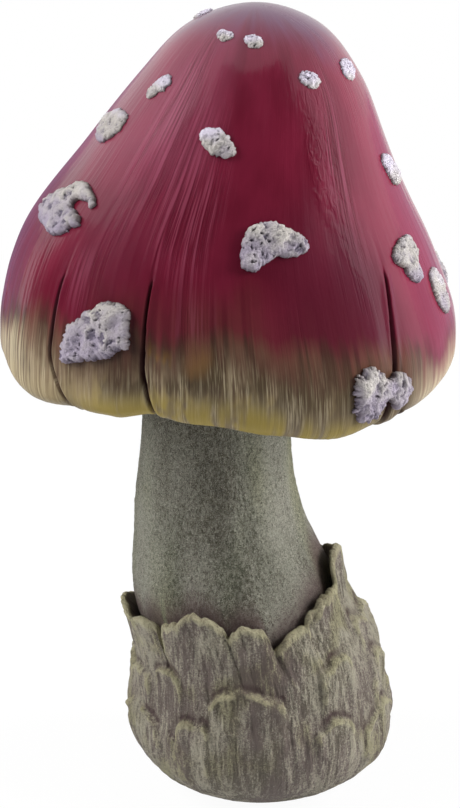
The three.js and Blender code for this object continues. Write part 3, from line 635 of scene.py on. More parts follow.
class Finish:
    """A material under construction, whose calls each add nodes and return an output."""

    def __init__(self, name):
        self.material = bpy.data.materials.new(name)
        self.material.use_nodes = True
        self.tree = self.material.node_tree
        self.tree.nodes.clear()

    def add(self, kind, inputs=(), output=0, **settings):
        """Adds a node with inputs, which are values or other outputs, and settings."""
        node = self.tree.nodes.new("ShaderNode" + kind)
        for key, value in settings.items():
            setattr(node, key, value)
        for key, value in dict(inputs).items():
            socket = node.inputs[key]
            if isinstance(value, bpy.types.NodeSocket):
                self.tree.links.new(value, socket)
            elif socket.type == "RGBA":
                socket.default_value = (*value, 1)[:4]
            else:
                socket.default_value = value
        return node.outputs[output] if node.outputs else node

    def layer(self, name):
        """A layer of single values that the piece carries."""
        return self.add("Attribute", output="Fac", attribute_name=name)

    def course(self, name):
        """A layer of coordinates that the piece carries."""
        return self.add("Attribute", output="Vector", attribute_name=name)

    def place(self):
        """Places on the piece, in metres."""
        return self.add("TexCoord", output="Object")

    def across(self, vector):
        """How far a spot lies to the right."""
        return self.add("SeparateXYZ", {"Vector": vector}, 0)

    def pattern(self, vector, stretch, shift, scale, detail, roughness, distortion):
        """Noise whose spots are longer up the piece the smaller stretch is."""
        course = self.add("Mapping", {"Vector": vector, "Scale": (1, 1, stretch), "Location": shift})
        inputs = {"Vector": course, "Scale": scale, "Detail": detail}
        return self.add("TexNoise", inputs | {"Roughness": roughness, "Distortion": distortion})

    def patterns(self, vector, table):
        """All the noise patterns of a table, by name."""
        return SimpleNamespace(**{name: self.pattern(vector, *row) for name, row in table.items()})

    def ramp(self, value, low, high, start=0.0, end=1.0):
        """Smooth change from start, where the value is low, to end, where it is high."""
        inputs = {"Value": value, "From Min": low, "From Max": high, "To Min": start, "To Max": end}
        return self.add("MapRange", inputs, interpolation_type="SMOOTHSTEP")

    def math(self, operation, *values):
        """Result of an operation on values."""
        return self.add("Math", enumerate(values), operation=operation)

    def times(self, first, *others):
        """Product of the values."""
        for other in others:
            first = self.math("MULTIPLY", first, other)
        return first

    def most(self, first, second):
        """The larger of two values."""
        return self.math("MAXIMUM", first, second)

    def swayed(self, value, pattern, amount):
        """The value, moved up and down by a pattern."""
        return self.math("MULTIPLY_ADD", self.math("SUBTRACT", pattern, 0.5), amount, value)

    def mix(self, factor, first, second):
        """Mix of two colours."""
        return self.add("Mix", {0: factor, 6: first, 7: second}, 2, data_type="RGBA")

    def blend(self, factor, first, second):
        """Mix of two values."""
        return self.add("Mix", {0: factor, 2: first, 3: second}, data_type="FLOAT")

    def bump(self, height, distance, normal=None):
        """Relief as deep as the distance, on top of another relief."""
        inputs = {"Height": height, "Distance": distance}
        if normal:
            inputs["Normal"] = normal
        return self.add("Bump", inputs)

    def show(self, surface):
        """Ends the material with a surface."""
        self.add("OutputMaterial", {"Surface": surface})
        return self.material

    def done(self, **inputs):
        """Ends the material with a shader whose inputs are named with underscores."""
        named = {key.replace("_", " "): value for key, value in inputs.items()}
        return self.show(self.add("BsdfPrincipled", named))


# Patterns of the finishes: stretch up the piece, shift, scale, detail, roughness and distortion. Those of
# the lacquer lie on its fibres, in millimetres, and the others on metres.
STILL = (0, 0, 0)
LACQUER_PATTERNS = {
    "thread": (0.028, STILL, 0.6, 3, 0.6, 0),
    "strand": (0.02, (9, 4, 2), 0.24, 3, 0.5, 0),
    "cloud": (0.7, (3, 8, 1), 0.045, 3, 0.5, 0),
    "leather": (0.5, STILL, 0.26, 2, 0.5, 0.8),
    "stain": (0.4, (1, 9, 3), 0.08, 3, 0.6, 0),
    "streak": (0.04, (7, 2, 5), 1.3, 3, 0.65, 0),
    "flat": (0.1, (2, 7, 9), 0.13, 2, 0.5, 0),
}
WART_PATTERNS = {
    "crumb": (1, STILL, 1700, 3, 0.7, 0),
    "speck": (1, STILL, 620, 3, 0.65, 0),
    "patch": (1, STILL, 150, 2, 0.5, 0),
}
STEM_PATTERNS = {
    "dots": (0.8, STILL, 1450, 2, 0.6, 2),
    "band": (0.08, (6, 2, 4), 70, 2, 0.5, 0),
    "crust": (0.45, (2, 5, 1), 820, 3, 0.65, 0),
    "patch": (0.5, STILL, 45, 3, 0.55, 0),
    "blot": (0.3, (3, 1, 7), 26, 2, 0.5, 0),
}
BULB_PATTERNS = {
    "fibre": (0.13, STILL, 560, 4, 0.65, 0.5),
    "strand": (0.2, (4, 2, 6), 150, 3, 0.55, 0),
    "crust": (1, STILL, 1200, 3, 0.65, 0.8),
    "patch": (0.6, STILL, 34, 3, 0.5, 0),
    "moss": (0.7, (5, 3, 8), 48, 2, 0.5, 0),
}
GILL_SPECK = (1, STILL, 300, 4, 0.6, 0)
WOOD_GRAIN = (0.06, STILL, 900, 4, 0.6, 0.8)

# Middle of the rust below the fade, in millimetres, and of the stem's band of painted shade, in metres, to the
# right
RUST_SPOT = -12
STEM_SHADE_MIDDLE = -0.024


def lacquer_finish(look):
    """Glossy red over fibres, fading through brown to straw streaks and yellow patches at the rim."""
    f = Finish("cap_lacquer")
    fibre = f.course("fibre")
    drop, combed, wrinkle = f.layer("drop"), f.layer("combed"), f.layer("wrinkle")
    p = f.patterns(fibre, LACQUER_PATTERNS)
    across = f.across(fibre)
    side = f.math("ABSOLUTE", across)

    # Share of the outline below the fade, whose line is ragged
    place = f.swayed(drop, p.cloud, 0.1)
    place = f.swayed(place, p.strand, 0.035)
    place = f.swayed(place, p.thread, 0.035)

    # Red with combed fibres and painted highlights on their ridges, painted light on the right side,
    # painted shade above the fade, a painted reflection on the left shoulder and a dusty crown
    groove = f.times(f.ramp(p.thread, 0.5, 0.38), f.blend(combed, 0.03, 1))
    red = f.mix(f.ramp(p.cloud, 0.35, 0.65), look.red, look.deep_red)
    red = f.mix(f.times(groove, 0.26), red, look.groove)
    # Painted highlight: pale pink glints on the ridges between the combed grooves
    red = f.mix(f.times(f.ramp(p.thread, 0.5, 0.6, 0, 0.42), combed), red, look.fibre)
    # Painted light: the red grows lighter and rosier towards the right side
    red = f.mix(f.ramp(across, 66, 98, 0, 0.42), red, look.painted_light_red)
    # Painted shade above the fade: light in the middle, deeper to the left, deepest right of the front, none
    # on the far flanks
    low = f.most(f.ramp(across, -20, -50, 0.12, 0.42), f.ramp(across, 8, 42, 0.12, 0.9))
    red = f.mix(f.times(low, f.ramp(place, -0.4, -0.12), f.ramp(side, 88, 66)), red, look.shade)
    # Painted reflection: the upper left shoulder is paled as if it mirrored the bright room
    painted_reflection = f.times(f.ramp(drop, -0.26, -0.42), f.ramp(across, -8, -34, 0, 0.26))
    red = f.mix(painted_reflection, red, look.fibre)
    dome = f.swayed(drop, p.cloud, 0.16)
    red = f.mix(f.ramp(dome, -0.62, -0.77, 0, 0.88), red, look.plum)

    # Straw with streaks, which are strongest low down and on the flanks
    dark = f.times(f.ramp(across, 12, 34), f.ramp(across, 96, 80))
    stain = f.math("SUBTRACT", p.stain, f.ramp(side, 35, 95, -0.02, 0.12))
    stain = f.math("MULTIPLY_ADD", dark, 0.2, stain)
    strong = f.times(f.ramp(p.flat, 0.4, 0.6, 0.2, 0.75), f.ramp(place, -0.01, 0.11, 0.35, 0.85))
    strong = f.times(strong, f.math("MULTIPLY_ADD", dark, -0.4, 1))
    strong = f.most(strong, f.ramp(side, 70, 95, 0, 0.9))
    streak = f.blend(f.ramp(side, 60, 90, 0, 0.7), p.streak, p.thread)
    straw = f.mix(f.ramp(stain, 0.36, 0.58), look.taupe, look.olive)
    straw = f.mix(f.ramp(side, 76, 102, 0, 0.65), straw, look.straw)
    straw = f.mix(f.times(f.ramp(streak, 0.5, 0.62), strong), straw, look.straw)
    straw = f.mix(f.times(f.ramp(streak, 0.5, 0.38), strong), straw, look.dark_brown)

    # Darker below the fade, painted shadow with dirt between the left splits, paler at the rim and on the far
    # right
    upper = f.times(f.ramp(place, 0.08, 0.03, 0, 0.36), f.ramp(side, 96, 80))
    straw = f.mix(upper, straw, look.dark_brown)
    # Painted shadow under the large front wart, with dirt, between the left splits
    shadow_and_dirt = f.times(f.ramp(across, -80, -70), f.ramp(across, -38, -48), f.ramp(place, 0.12, 0.05, 0, 0.42))
    straw = f.mix(shadow_and_dirt, straw, look.dark_brown)
    pale = f.most(f.ramp(place, 0.07, 0.14, 0, 0.22), f.ramp(across, 76, 94, 0, 0.6))
    straw = f.mix(pale, straw, look.straw)

    # Yellow patches near the rim, and rust just below the fade
    rim = f.times(f.ramp(drop, 0.09, 0.15), f.ramp(side, 85, 55), f.ramp(p.flat, 0.62, 0.46))
    moss = f.most(f.times(f.ramp(stain, 0.58, 0.44), f.ramp(place, 0.07, 0.16)), rim)
    straw = f.mix(f.times(moss, f.ramp(side, 80, 50, 0.2, 0.85)), straw, look.moss)
    spot = f.math("ABSOLUTE", f.math("SUBTRACT", across, RUST_SPOT))
    rust = f.most(f.times(f.ramp(stain, 0.4, 0.3), f.ramp(side, 60, 35)), f.ramp(spot, 9, 2, 0, 0.6))
    straw = f.mix(f.times(rust, f.ramp(place, 0.07, 0.02)), straw, look.amber)

    # From red through brown to straw
    brown = f.mix(f.ramp(p.strand, 0.4, 0.6), look.brown, look.dark_brown)
    veil = f.times(f.ramp(place, -0.15, -0.03, 0, 0.34), f.ramp(side, 70, 50), f.ramp(across, 8, 30, 1, 0.25))
    fall = f.times(f.ramp(place, -0.06, 0.01), f.ramp(across, 80, 98, 1, 0.45))
    colour = f.mix(f.most(fall, veil), red, brown)
    colour = f.mix(f.ramp(place, -0.02, 0.07), colour, straw)
    colour = f.mix(f.layer("slit"), colour, look.slit)

    # Relief of leather, strands, grooves and threads, without strands on the crown
    fade = f.ramp(place, -0.05, 0.04)
    away = f.ramp(drop, -0.74, -0.52)
    leather = f.times(p.leather, f.blend(wrinkle, 0.08, 1.25))
    skin = f.bump(f.times(p.strand, away), look.fibre_depth, f.bump(leather, look.fibre_depth * 10))
    relief = f.bump(groove, -look.fibre_depth * 2.2, skin)
    fine = f.times(f.blend(fade, p.thread, streak), away)
    relief = f.bump(fine, f.blend(fade, look.fibre_depth, look.fibre_depth * 2.5), relief)
    return f.done(
        Base_Color=colour,
        Roughness=f.blend(fade, look.gloss, 0.6),
        Specular_IOR_Level=0.3,
        Specular_Tint=look.sheen,
        Normal=relief,
        Coat_Weight=f.blend(fade, 0.62, 0.08),
        Coat_Roughness=0.12,
        Coat_Normal=skin,
    )


def wart_finish(look):
    """Rough plaster with a purple-grey wash in its hollows and dark pits, cream on top in painted light and
    lavender below in painted shade.
    """
    f = Finish("wart_plaster")
    p = f.patterns(f.place(), WART_PATTERNS)
    dust = f.layer("dust")
    height = f.swayed(f.swayed(f.layer("relief"), p.speck, 0.6), p.crumb, 0.45)
    # Painted light and shade: lavender low down, plaster higher up, near white where the painted light is
    # strongest
    pale = f.mix(f.ramp(f.math("MULTIPLY_ADD", p.patch, 1.4, dust), 0.5, 1.7), look.lilac_wash_and_shade, look.plaster)
    pale = f.mix(f.ramp(dust, 0.8, 1.6), pale, look.painted_light_chalk)
    colour = f.mix(f.ramp(height, 0.12, 0.92), look.wash, pale)
    colour = f.mix(f.times(f.layer("pit"), 0.85), colour, look.pit)
    # Painted shade, with dark paint, where a wart's sides meet the cap
    colour = f.mix(f.times(f.layer("foot"), 0.55), colour, look.foot)
    relief = f.bump(p.crumb, 0.001, f.bump(p.speck, 0.001))
    return f.done(Base_Color=colour, Roughness=0.85, Normal=relief)


def stem_finish(look):
    """Dark ground under a pale stippled crust, with painted shade down the middle and above the collar, and
    painted light on the sides.
    """
    f = Finish("stem_paint")
    place = f.place()
    p = f.patterns(place, STEM_PATTERNS)
    # Painted light and shade: the crust thins down a band at the stem's middle and thickens towards both
    # sides, broken up by patches and bands
    from_shade = f.math("ABSOLUTE", f.math("SUBTRACT", f.across(place), STEM_SHADE_MIDDLE))
    side_light = f.swayed(f.ramp(from_shade, 0.011, 0.03, -0.018, 0.038), p.patch, 0.18)
    side_light = f.swayed(side_light, p.band, 0.16)
    ground = f.mix(f.ramp(p.blot, 0.42, 0.58), look.ground, look.green_ground)
    ground = f.mix(f.times(f.ramp(p.patch, 0.5, 0.7), 0.6), ground, look.purple_ground)
    pale = f.mix(f.ramp(p.blot, 0.5, 0.68, 0, 0.55), look.crust, look.lichen)
    colour = f.mix(f.ramp(f.math("ADD", p.crust, side_light), 0.36, 0.64, 0, 0.48), ground, pale)
    colour = f.mix(f.ramp(f.math("ADD", p.dots, side_light), 0.49, 0.57, 0, 0.8), colour, pale)
    colour = f.mix(f.ramp(p.dots, 0.46, 0.34, 0, 0.5), colour, look.ground)
    # Painted shade on the stem just above the collar's edge
    colour = f.mix(f.times(f.layer("blush"), 0.7), colour, look.blush)
    relief = f.bump(p.dots, 0.0018, f.bump(p.crust, 0.0022))
    return f.done(Base_Color=colour, Roughness=0.8, Normal=relief)


def bulb_finish(look):
    """Purple-brown hollows under fibres and edges that are dry-brushed in pale olive, painted shade above the
    scales, and painted light on the sides.
    """
    f = Finish("bulb_paint")
    place = f.place()
    p = f.patterns(place, BULB_PATTERNS)
    edge = f.layer("edge")
    height = f.math("MULTIPLY_ADD", p.fibre, 0.5, f.times(p.crust, 0.5))
    # Painted light and shade: the dry-brushing is darker down the middle and paler towards both sides; the
    # same ramp adds a gentle rise to the relief
    height = f.math("ADD", height, f.ramp(f.math("ABSOLUTE", f.across(place)), 0.012, 0.056, -0.03, 0.055))
    brush = f.swayed(f.swayed(height, p.strand, 0.35), p.patch, -0.3)
    moss = f.math("MULTIPLY_ADD", edge, 0.08, p.moss)
    pale = f.mix(f.ramp(moss, 0.5, 0.64, 0, 0.55), look.brushed, look.moss)
    ground = f.mix(f.ramp(p.patch, 0.42, 0.58), look.ground, look.purple_ground)
    colour = f.mix(f.ramp(brush, 0.42, 0.61, 0.08, 0.74), ground, pale)
    worn = f.ramp(f.math("MULTIPLY_ADD", f.swayed(edge, p.strand, 0.8), 0.45, height), 0.56, 1)
    colour = f.mix(f.times(worn, 0.65), colour, look.edge)
    # Painted shade in the hollows above the scales and down the inside of the collar
    colour = f.mix(f.times(f.layer("recess"), 0.8), colour, look.recess)
    relief = f.bump(height, 0.0045, f.bump(p.strand, 0.003))
    return f.done(Base_Color=colour, Roughness=0.85, Normal=relief)


def gill_finish(look):
    """Cream gills, browner in their valleys."""
    f = Finish("gill_paint")
    speck = f.pattern(f.place(), *GILL_SPECK)
    colour = f.mix(f.ramp(speck, 0.35, 0.65), look.gill, look.gill_shade)
    colour = f.mix(f.times(f.layer("valley"), 0.9), colour, look.valley)
    return f.done(Base_Color=colour, Roughness=0.7, Normal=f.bump(speck, 0.0003))


def casting_finish(name, first, second, scale):
    """Bare resin casting with faint clouds and air specks."""
    f = Finish(name)
    place = f.place()
    cloud = f.pattern(place, 1, STILL, scale, 4, 0.6, 0)
    speck = f.add("TexVoronoi", {"Vector": place, "Scale": scale * 12})
    colour = f.mix(f.ramp(cloud, 0.35, 0.65), first, second)
    return f.done(Base_Color=colour, Roughness=0.8, Normal=f.bump(speck, 0.0002))


def wood_finish(name, first, second):
    """Turned hardwood with its grain along the rod."""
    f = Finish(name)
    lines = f.pattern(f.place(), *WOOD_GRAIN)
    colour = f.mix(f.ramp(lines, 0.35, 0.65), first, second)
    return f.done(Base_Color=colour, Roughness=0.6, Normal=f.bump(lines, 0.0002))


# Settings


def colour(name, description, *value):
    """Setting for a colour, written from 0 to 255."""
    return FloatVectorProperty(
        name=name, description=description, subtype="COLOR", size=3, min=0, max=1, default=paint(*value)
    )


def amount(name, description, value, subtype="NONE", **limits):
    """Setting for an amount, which isn't negative."""
    return FloatProperty(name=name, description=description, default=value, subtype=subtype, min=0, **limits)


class CapSettings(bpy.types.PropertyGroup):
    red: colour("Red", "Lacquer over most of the cap", 102, 23, 43)
    deep_red: colour("Deep red", "Darker clouds of the lacquer", 90, 17, 35)
    sheen: colour("Sheen", "Tint of the broad reflections", 222, 204, 250)
    brown: colour("Brown", "Paint where the red fades out", 92, 58, 47)
    dark_brown: colour("Dark brown", "Threads in the brown", 62, 38, 30)
    groove: colour("Groove", "Bottom of the fibres' grooves", 72, 11, 26)
    # Fibre is painted highlight and painted reflection: glints on the fibres' ridges and the sheen of the left
    # shoulder
    fibre: colour("Fibre", "Worn ridges between the grooves", 150, 76, 98)
    # Shade is painted shade above the fade
    shade: colour("Shade", "Deeper red above the fade", 74, 19, 33)
    # Painted light of the right side
    painted_light_red: colour("Rose", "Lighter red of the right side", 134, 36, 64)
    plum: colour("Plum", "Dusty paint of the crown", 86, 56, 81)
    taupe: colour("Taupe", "Ground of the lobes", 120, 104, 80)
    straw: colour("Straw", "Pale threads on the lobes", 176, 164, 136)
    olive: colour("Olive", "Darker streaks on the lobes", 78, 66, 44)
    amber: colour("Amber", "Rusty patches below the brown", 134, 104, 50)
    moss: colour("Moss", "Yellow patches near the rim", 142, 125, 48)
    slit: colour("Split", "Bottom of the splits", 54, 23, 27)
    gloss: amount("Roughness", "Roughness of the red paint", 0.36, max=1)
    fibre_depth: amount("Fibre depth", "Depth of the finest fibres", 0.00008, "DISTANCE")
    fold_depth: amount("Fold depth", "Depth of the fibrous folds", 0.00016, "DISTANCE")


class GillSettings(bpy.types.PropertyGroup):
    gill: colour("Gill", "Edges of the gills", 196, 184, 146)
    gill_shade: colour("Gill shade", "Clouds on the gills", 176, 160, 120)
    valley: colour("Valley", "Between the gills", 98, 76, 52)


class WartSettings(bpy.types.PropertyGroup):
    plaster: colour("Plaster", "Tops of the warts", 200, 194, 188)
    # Painted light on the tops of the smallest and the lit warts
    painted_light_chalk: colour("Chalk", "Tops of the smallest warts", 226, 218, 234)
    # Painted shade with a lavender wash on the lower parts of the warts
    lilac_wash_and_shade: colour("Lilac", "Lower parts of the warts", 168, 158, 174)
    wash: colour("Wash", "Hollows of the warts", 106, 98, 116)
    pit: colour("Pit", "Air-bubble pits", 58, 44, 54)
    # Painted shade with dark paint where a wart meets the cap
    foot: colour("Foot", "Where a wart meets the cap", 84, 48, 58)
    relief: amount("Relief", "Depth of the hollows", 0.0009, "DISTANCE")


class StemSettings(bpy.types.PropertyGroup):
    ground: colour("Ground", "Dark paint of the stem", 84, 79, 66)
    green_ground: colour("Green ground", "Greener patches of the dark paint", 82, 84, 67)
    purple_ground: colour("Purple ground", "Warmer patches of the dark paint", 100, 90, 86)
    crust: colour("Crust", "Dry-brushed paint of the stem", 178, 177, 162)
    lichen: colour("Lichen", "Yellower patches of the dry-brushed paint", 166, 166, 122)
    # Painted shade above the collar
    blush: colour("Blush", "Tint above the collar", 110, 87, 88)
    lump: amount("Lumps", "Depth of the stem's lumps", 0.0007, "DISTANCE")


class BulbSettings(bpy.types.PropertyGroup):
    ground: colour("Ground", "Dark paint of the bulb", 92, 84, 73)
    purple_ground: colour("Purple ground", "Purple patches of the dark paint", 98, 85, 82)
    brushed: colour("Brushed", "Dry-brushed paint of the bulb", 182, 176, 158)
    moss: colour("Moss", "Yellow-green patches of the dry-brushed paint", 158, 154, 108)
    edge: colour("Edge", "Dry-brushed edges of scales and petals", 186, 180, 146)
    # Painted shade in the hollows
    recess: colour("Recess", "Hollows above the scales", 74, 55, 56)
    groove: amount("Grooves", "Depth of the bulb's grooves", 0.0006, "DISTANCE")


class InnerSettings(bpy.types.PropertyGroup):
    resin: colour("Resin", "Bare casting of the foot and socket", 176, 170, 158)
    stone: colour("Stone", "Ballast", 140, 136, 130)
    wood: colour("Wood", "Dowel", 182, 146, 98)


class StageSettings(bpy.types.PropertyGroup):
    floor: colour("Floor", "Pale floor", 244, 244, 244)
    card: colour("Card", "Dark card round the camera", 14, 12, 14)
    back_card: colour("Back card", "Grey card behind the left side", 150, 128, 160)
    right_card: colour("Right card", "Paler card behind the right side", 196, 176, 200)
    world: amount("World", "Strength of the room's soft light", 0.15)
    side: amount("Side lamps", "Power of the two side lamps", 45, "POWER")
    top: amount("Top lamp", "Power of the top lamp", 2, "POWER")


class FigurineSettings(bpy.types.PropertyGroup):
    cap: PointerProperty(type=CapSettings)
    gills: PointerProperty(type=GillSettings)
    warts: PointerProperty(type=WartSettings)
    stem: PointerProperty(type=StemSettings)
    bulb: PointerProperty(type=BulbSettings)
    inner: PointerProperty(type=InnerSettings)
    stage: PointerProperty(type=StageSettings)


# Pieces


def split_path(lobe, share):
    """Bearing of a split's middle at each share, and how far down it the share is."""
    bearing, _, _, _, top, _, hook, rake = lobe
    down = (share - top) / (1 - top)
    course = bearing - hook * (1 - eased(share, SPLIT_HOOK_END, 1)) - rake * (1 - np.clip(down, 0, 1))
    return course, down


def gathered(column, share):
    """Bearings of the cap's columns, which gather at the splits and follow their courses."""
    base = column.copy()
    for lobe in LOBES:
        off = turn(lobe[0], column)
        base -= GATHERING * off * bell(off, GATHERING_WIDTH)
    bearing = base.copy()
    for lobe in LOBES:
        course, _ = split_path(lobe, np.maximum(share, lobe[4]))
        bearing += patch(base, lobe[0], FOLLOWING_WIDTH) * (course - lobe[0])
    return bearing


def fibrous_folds(bearing, share, x, y, arc):
    """Folds of the cap's skin, in fold depths, which are low right of the front and on the right."""
    folds = 1.4 * grain(0.14, x, y, arc * 0.006, 3) + grain(0.45, x + 20, y, arc * 0.014, 2)
    calm = 0.25 + 0.75 * eased(np.abs(turn(CALM_FRONT, bearing)), 14, 42)
    calm = np.maximum(calm, eased(share, 0.8, 0.92)) * (1 - 0.55 * patch(bearing, *CALM_RIGHT))
    calm *= 0.6 + 0.4 * grain(0.03, x, y, arc * 0.03 + 4)
    return folds * calm


def wrinkled(bearing, share, radius, x, y, arc):
    """Wrinkles of the skin, right of the line of the fold."""
    aside = np.radians(turn(along(FOLD, share), bearing)) * radius
    zone = eased(share, 0.25, 0.29) * (1 - eased(share, 0.58, 0.7))
    wrinkle = zone * eased(aside, -1, 3) * (1 - eased(aside, 4, 24))
    return wrinkle * (0.5 + 0.5 * grain(0.06, x, y, arc * 0.06))


def combed_fibres(bearing, share, x, y, arc):
    """Where fibres show in the lacquer: left of the front, and lower down on the far left."""
    near = patch(bearing, *COMBED_LEFT) * eased(share, 0.18, 0.34) * (1 - eased(share, 0.52, 0.74))
    far = patch(bearing, *COMBED_FAR_LEFT) * bell(share - COMBED_FAR_SHARE, COMBED_FAR_HEIGHT)
    combed = np.maximum(near, far)
    return np.clip(combed - 0.2 + 1.4 * grain(0.03, x, y, arc * 0.014 + 2, 2), 0, 1)


def cut_splits(lift, bearing, share, radius, arc):
    """Cuts the splits into the lifts of the cap's skin, and returns where they are open."""
    slit = np.zeros(len(share))
    for number, lobe in enumerate(LOBES):
        course, down = split_path(lobe, share)
        aside = np.radians(turn(course, bearing)) * radius
        growth = np.sqrt(np.clip(down, 0, 1))
        half = lobe[5] / 2 * (0.2 + 0.8 * growth) + 0.12 * grain(1, arc * 0.3, number, 0)
        opening = eased(down, -0.02, 0.05)
        cut = (1 - eased(np.abs(aside), half - 0.22, half + 0.2)) * opening
        lift -= cut * SPLIT_DEPTH * (0.3 + 0.7 * growth)
        lift -= HOLLOW_DEPTH * bell(aside, HOLLOW_WIDTH) * eased(down, -0.1, 0.7)
        beside = bell(np.abs(aside) - half - EDGE_LIP_AWAY, EDGE_LIP_WIDTH) * opening
        lift += EDGE_LIP * beside * np.where(aside > 0, 1, EDGE_LIP_LEFT)
        lift -= CREASE_DEPTH * bell(aside, CREASE_WIDTH) * eased(down, -0.35, -0.05) * (1 - opening)
        slit = np.maximum(slit, (1 - eased(np.abs(aside), half - 0.1, half + 0.35)) * opening)
    return slit


class FIGURINE_OT_cap(bpy.types.Operator):
    """Make the cap: a lobed bell with a rolled lip, splits and fibrous folds"""

    bl_idname = "figurine.cap"
    bl_label = "Cap"

    def execute(self, context):
        look = context.scene.figurine.cap
        lip_start = len(INSIDE_SHARES) - len(LIP_RINGS)
        shares = np.concatenate([INSIDE_SHARES, SKIN_SHARES])
        form, ring, column = lathe(len(shares), CAP_COLUMNS)
        share = shares[ring]
        bearing = gathered(column, share)
        radius = outline(share)[0]
        x, y, _ = around(0, CAP_RADIUS, bearing, 0).T
        arc = share * OUTLINE_LENGTH
        lift = fibrous_folds(bearing, share, x, y, arc) * look.fold_depth * METRE
        lift *= (0.35 + 0.65 * (radius / CAP_RADIUS)) * eased(share, 0.1, 0.34)
        slit = cut_splits(lift, bearing, share, radius, arc)
        outer = ring >= len(INSIDE_SHARES)
        points = cap_point(bearing, share, np.where(outer, lift, -CAP_WALL))
        for number, place in enumerate(LIP_RINGS):
            on = ring == lip_start + number
            points[on] = bent(*place, bearing[on])
        make_piece(
            "cap_bell",
            form,
            points,
            lacquer_finish(look),
            "cap_lacquer",
            ["cap_shell"],
            fibre=np.stack([x, y, arc], -1),
            drop=share - round_line(FADE_LINE, bearing),
            slit=np.where(outer, slit, 0),
            wrinkle=wrinkled(bearing, share, radius, x, y, arc),
            combed=combed_fibres(bearing, share, x, y, arc),
        )
        return {"FINISHED"}


class FIGURINE_OT_gills(bpy.types.Operator):
    """Make the plate of gills under the cap"""

    bl_idname = "figurine.gills"
    bl_label = "Gills"

    def execute(self, context):
        look = context.scene.figurine.gills
        rings = np.array([*GILL_RINGS, 1, 0])
        form, ring, column = lathe(len(rings), GILL_COUNT * COLUMNS_PER_GILL, loop=True)
        out = rings[ring]
        phase = np.radians(column * GILL_COUNT / 2)
        long_gill = np.abs(np.cos(phase)) ** 4
        short_gill = np.abs(np.sin(phase)) ** 4 * eased(out, SHORT_GILL_START, SHORT_GILL_FULL)
        between = 1 - np.maximum(long_gill, short_gill)
        under = ring < len(GILL_RINGS)
        valley = np.where(under, between * eased(out, 0, 0.07) * (1 - eased(out, 0.95, 1)), 0)
        radius = PLATE_INNER + (PLATE_OUTER - PLATE_INNER) * out
        z = RIM_HEIGHT + PLATE_RECESS + np.where(under, valley * GILL_DEPTH, PLATE_THICKNESS)
        points = around(CAP_SHIFT + (STEM_TOP_SHIFT - CAP_SHIFT) * (1 - out), radius, column, z)
        finish = gill_finish(look)
        make_piece("gill_lamellae", form, points, finish, "gill_paint", ["gill_plate"], valley=valley)
        return {"FINISHED"}


def wart_knots(spec, seed):
    """Knots of a wart's outline, of which an oval has twelve that are unevenly far out."""
    if isinstance(spec, list):
        return np.array(spec, float)
    long, wide, tilt = spec
    angle = np.radians(np.arange(0, 360, 30))
    oval = np.stack([long * np.cos(angle), wide * np.sin(angle)], -1)
    oval *= 1 + 0.16 * grain(1.3, np.cos(angle), np.sin(angle), seed)[:, None]
    c, s = np.cos(np.radians(tilt)), np.sin(np.radians(tilt))
    return oval @ np.array([[c, s], [-s, c]])


def ragged_edge(spec, seed, ragged):
    """Closed outline of a wart, with small ragged spikes of the given length."""
    knots = wart_knots(spec, seed) * (1, -1)
    steps = np.hypot(*(np.roll(knots, -1, axis=0) - knots).T)
    edge = []
    for i, step in enumerate(steps):
        t = np.linspace(0, 1, max(int(step / EDGE_STEP), 2), endpoint=False)[:, None]
        edge.append(curve([knots[(i + k) % len(knots)] for k in (-1, 0, 1, 2)], t))
    edge = np.concatenate(edge)
    course = np.roll(edge, -1, axis=0) - np.roll(edge, 1, axis=0)
    outward = np.stack([course[:, 1], -course[:, 0]], -1) / np.hypot(*course.T)[:, None]
    x, y = edge.T
    spikes = np.clip(0.22 - np.abs(grain(1.15, x, y, seed * 9.7)), 0, 0.22) / 0.22
    wave = spikes * ragged * (0.7 + 0.9 * grain(0.4, x, y, seed * 1.9))
    wave += 0.6 * grain(1.2, x, y, seed * 3.1, 2) + 0.5 * grain(0.3, x, y, seed)
    return edge + outward * wave[:, None]


def by_size(size, small, large):
    """A value between those of the smallest and the largest warts."""
    return np.interp(size, WART_SIZES, (small, large))


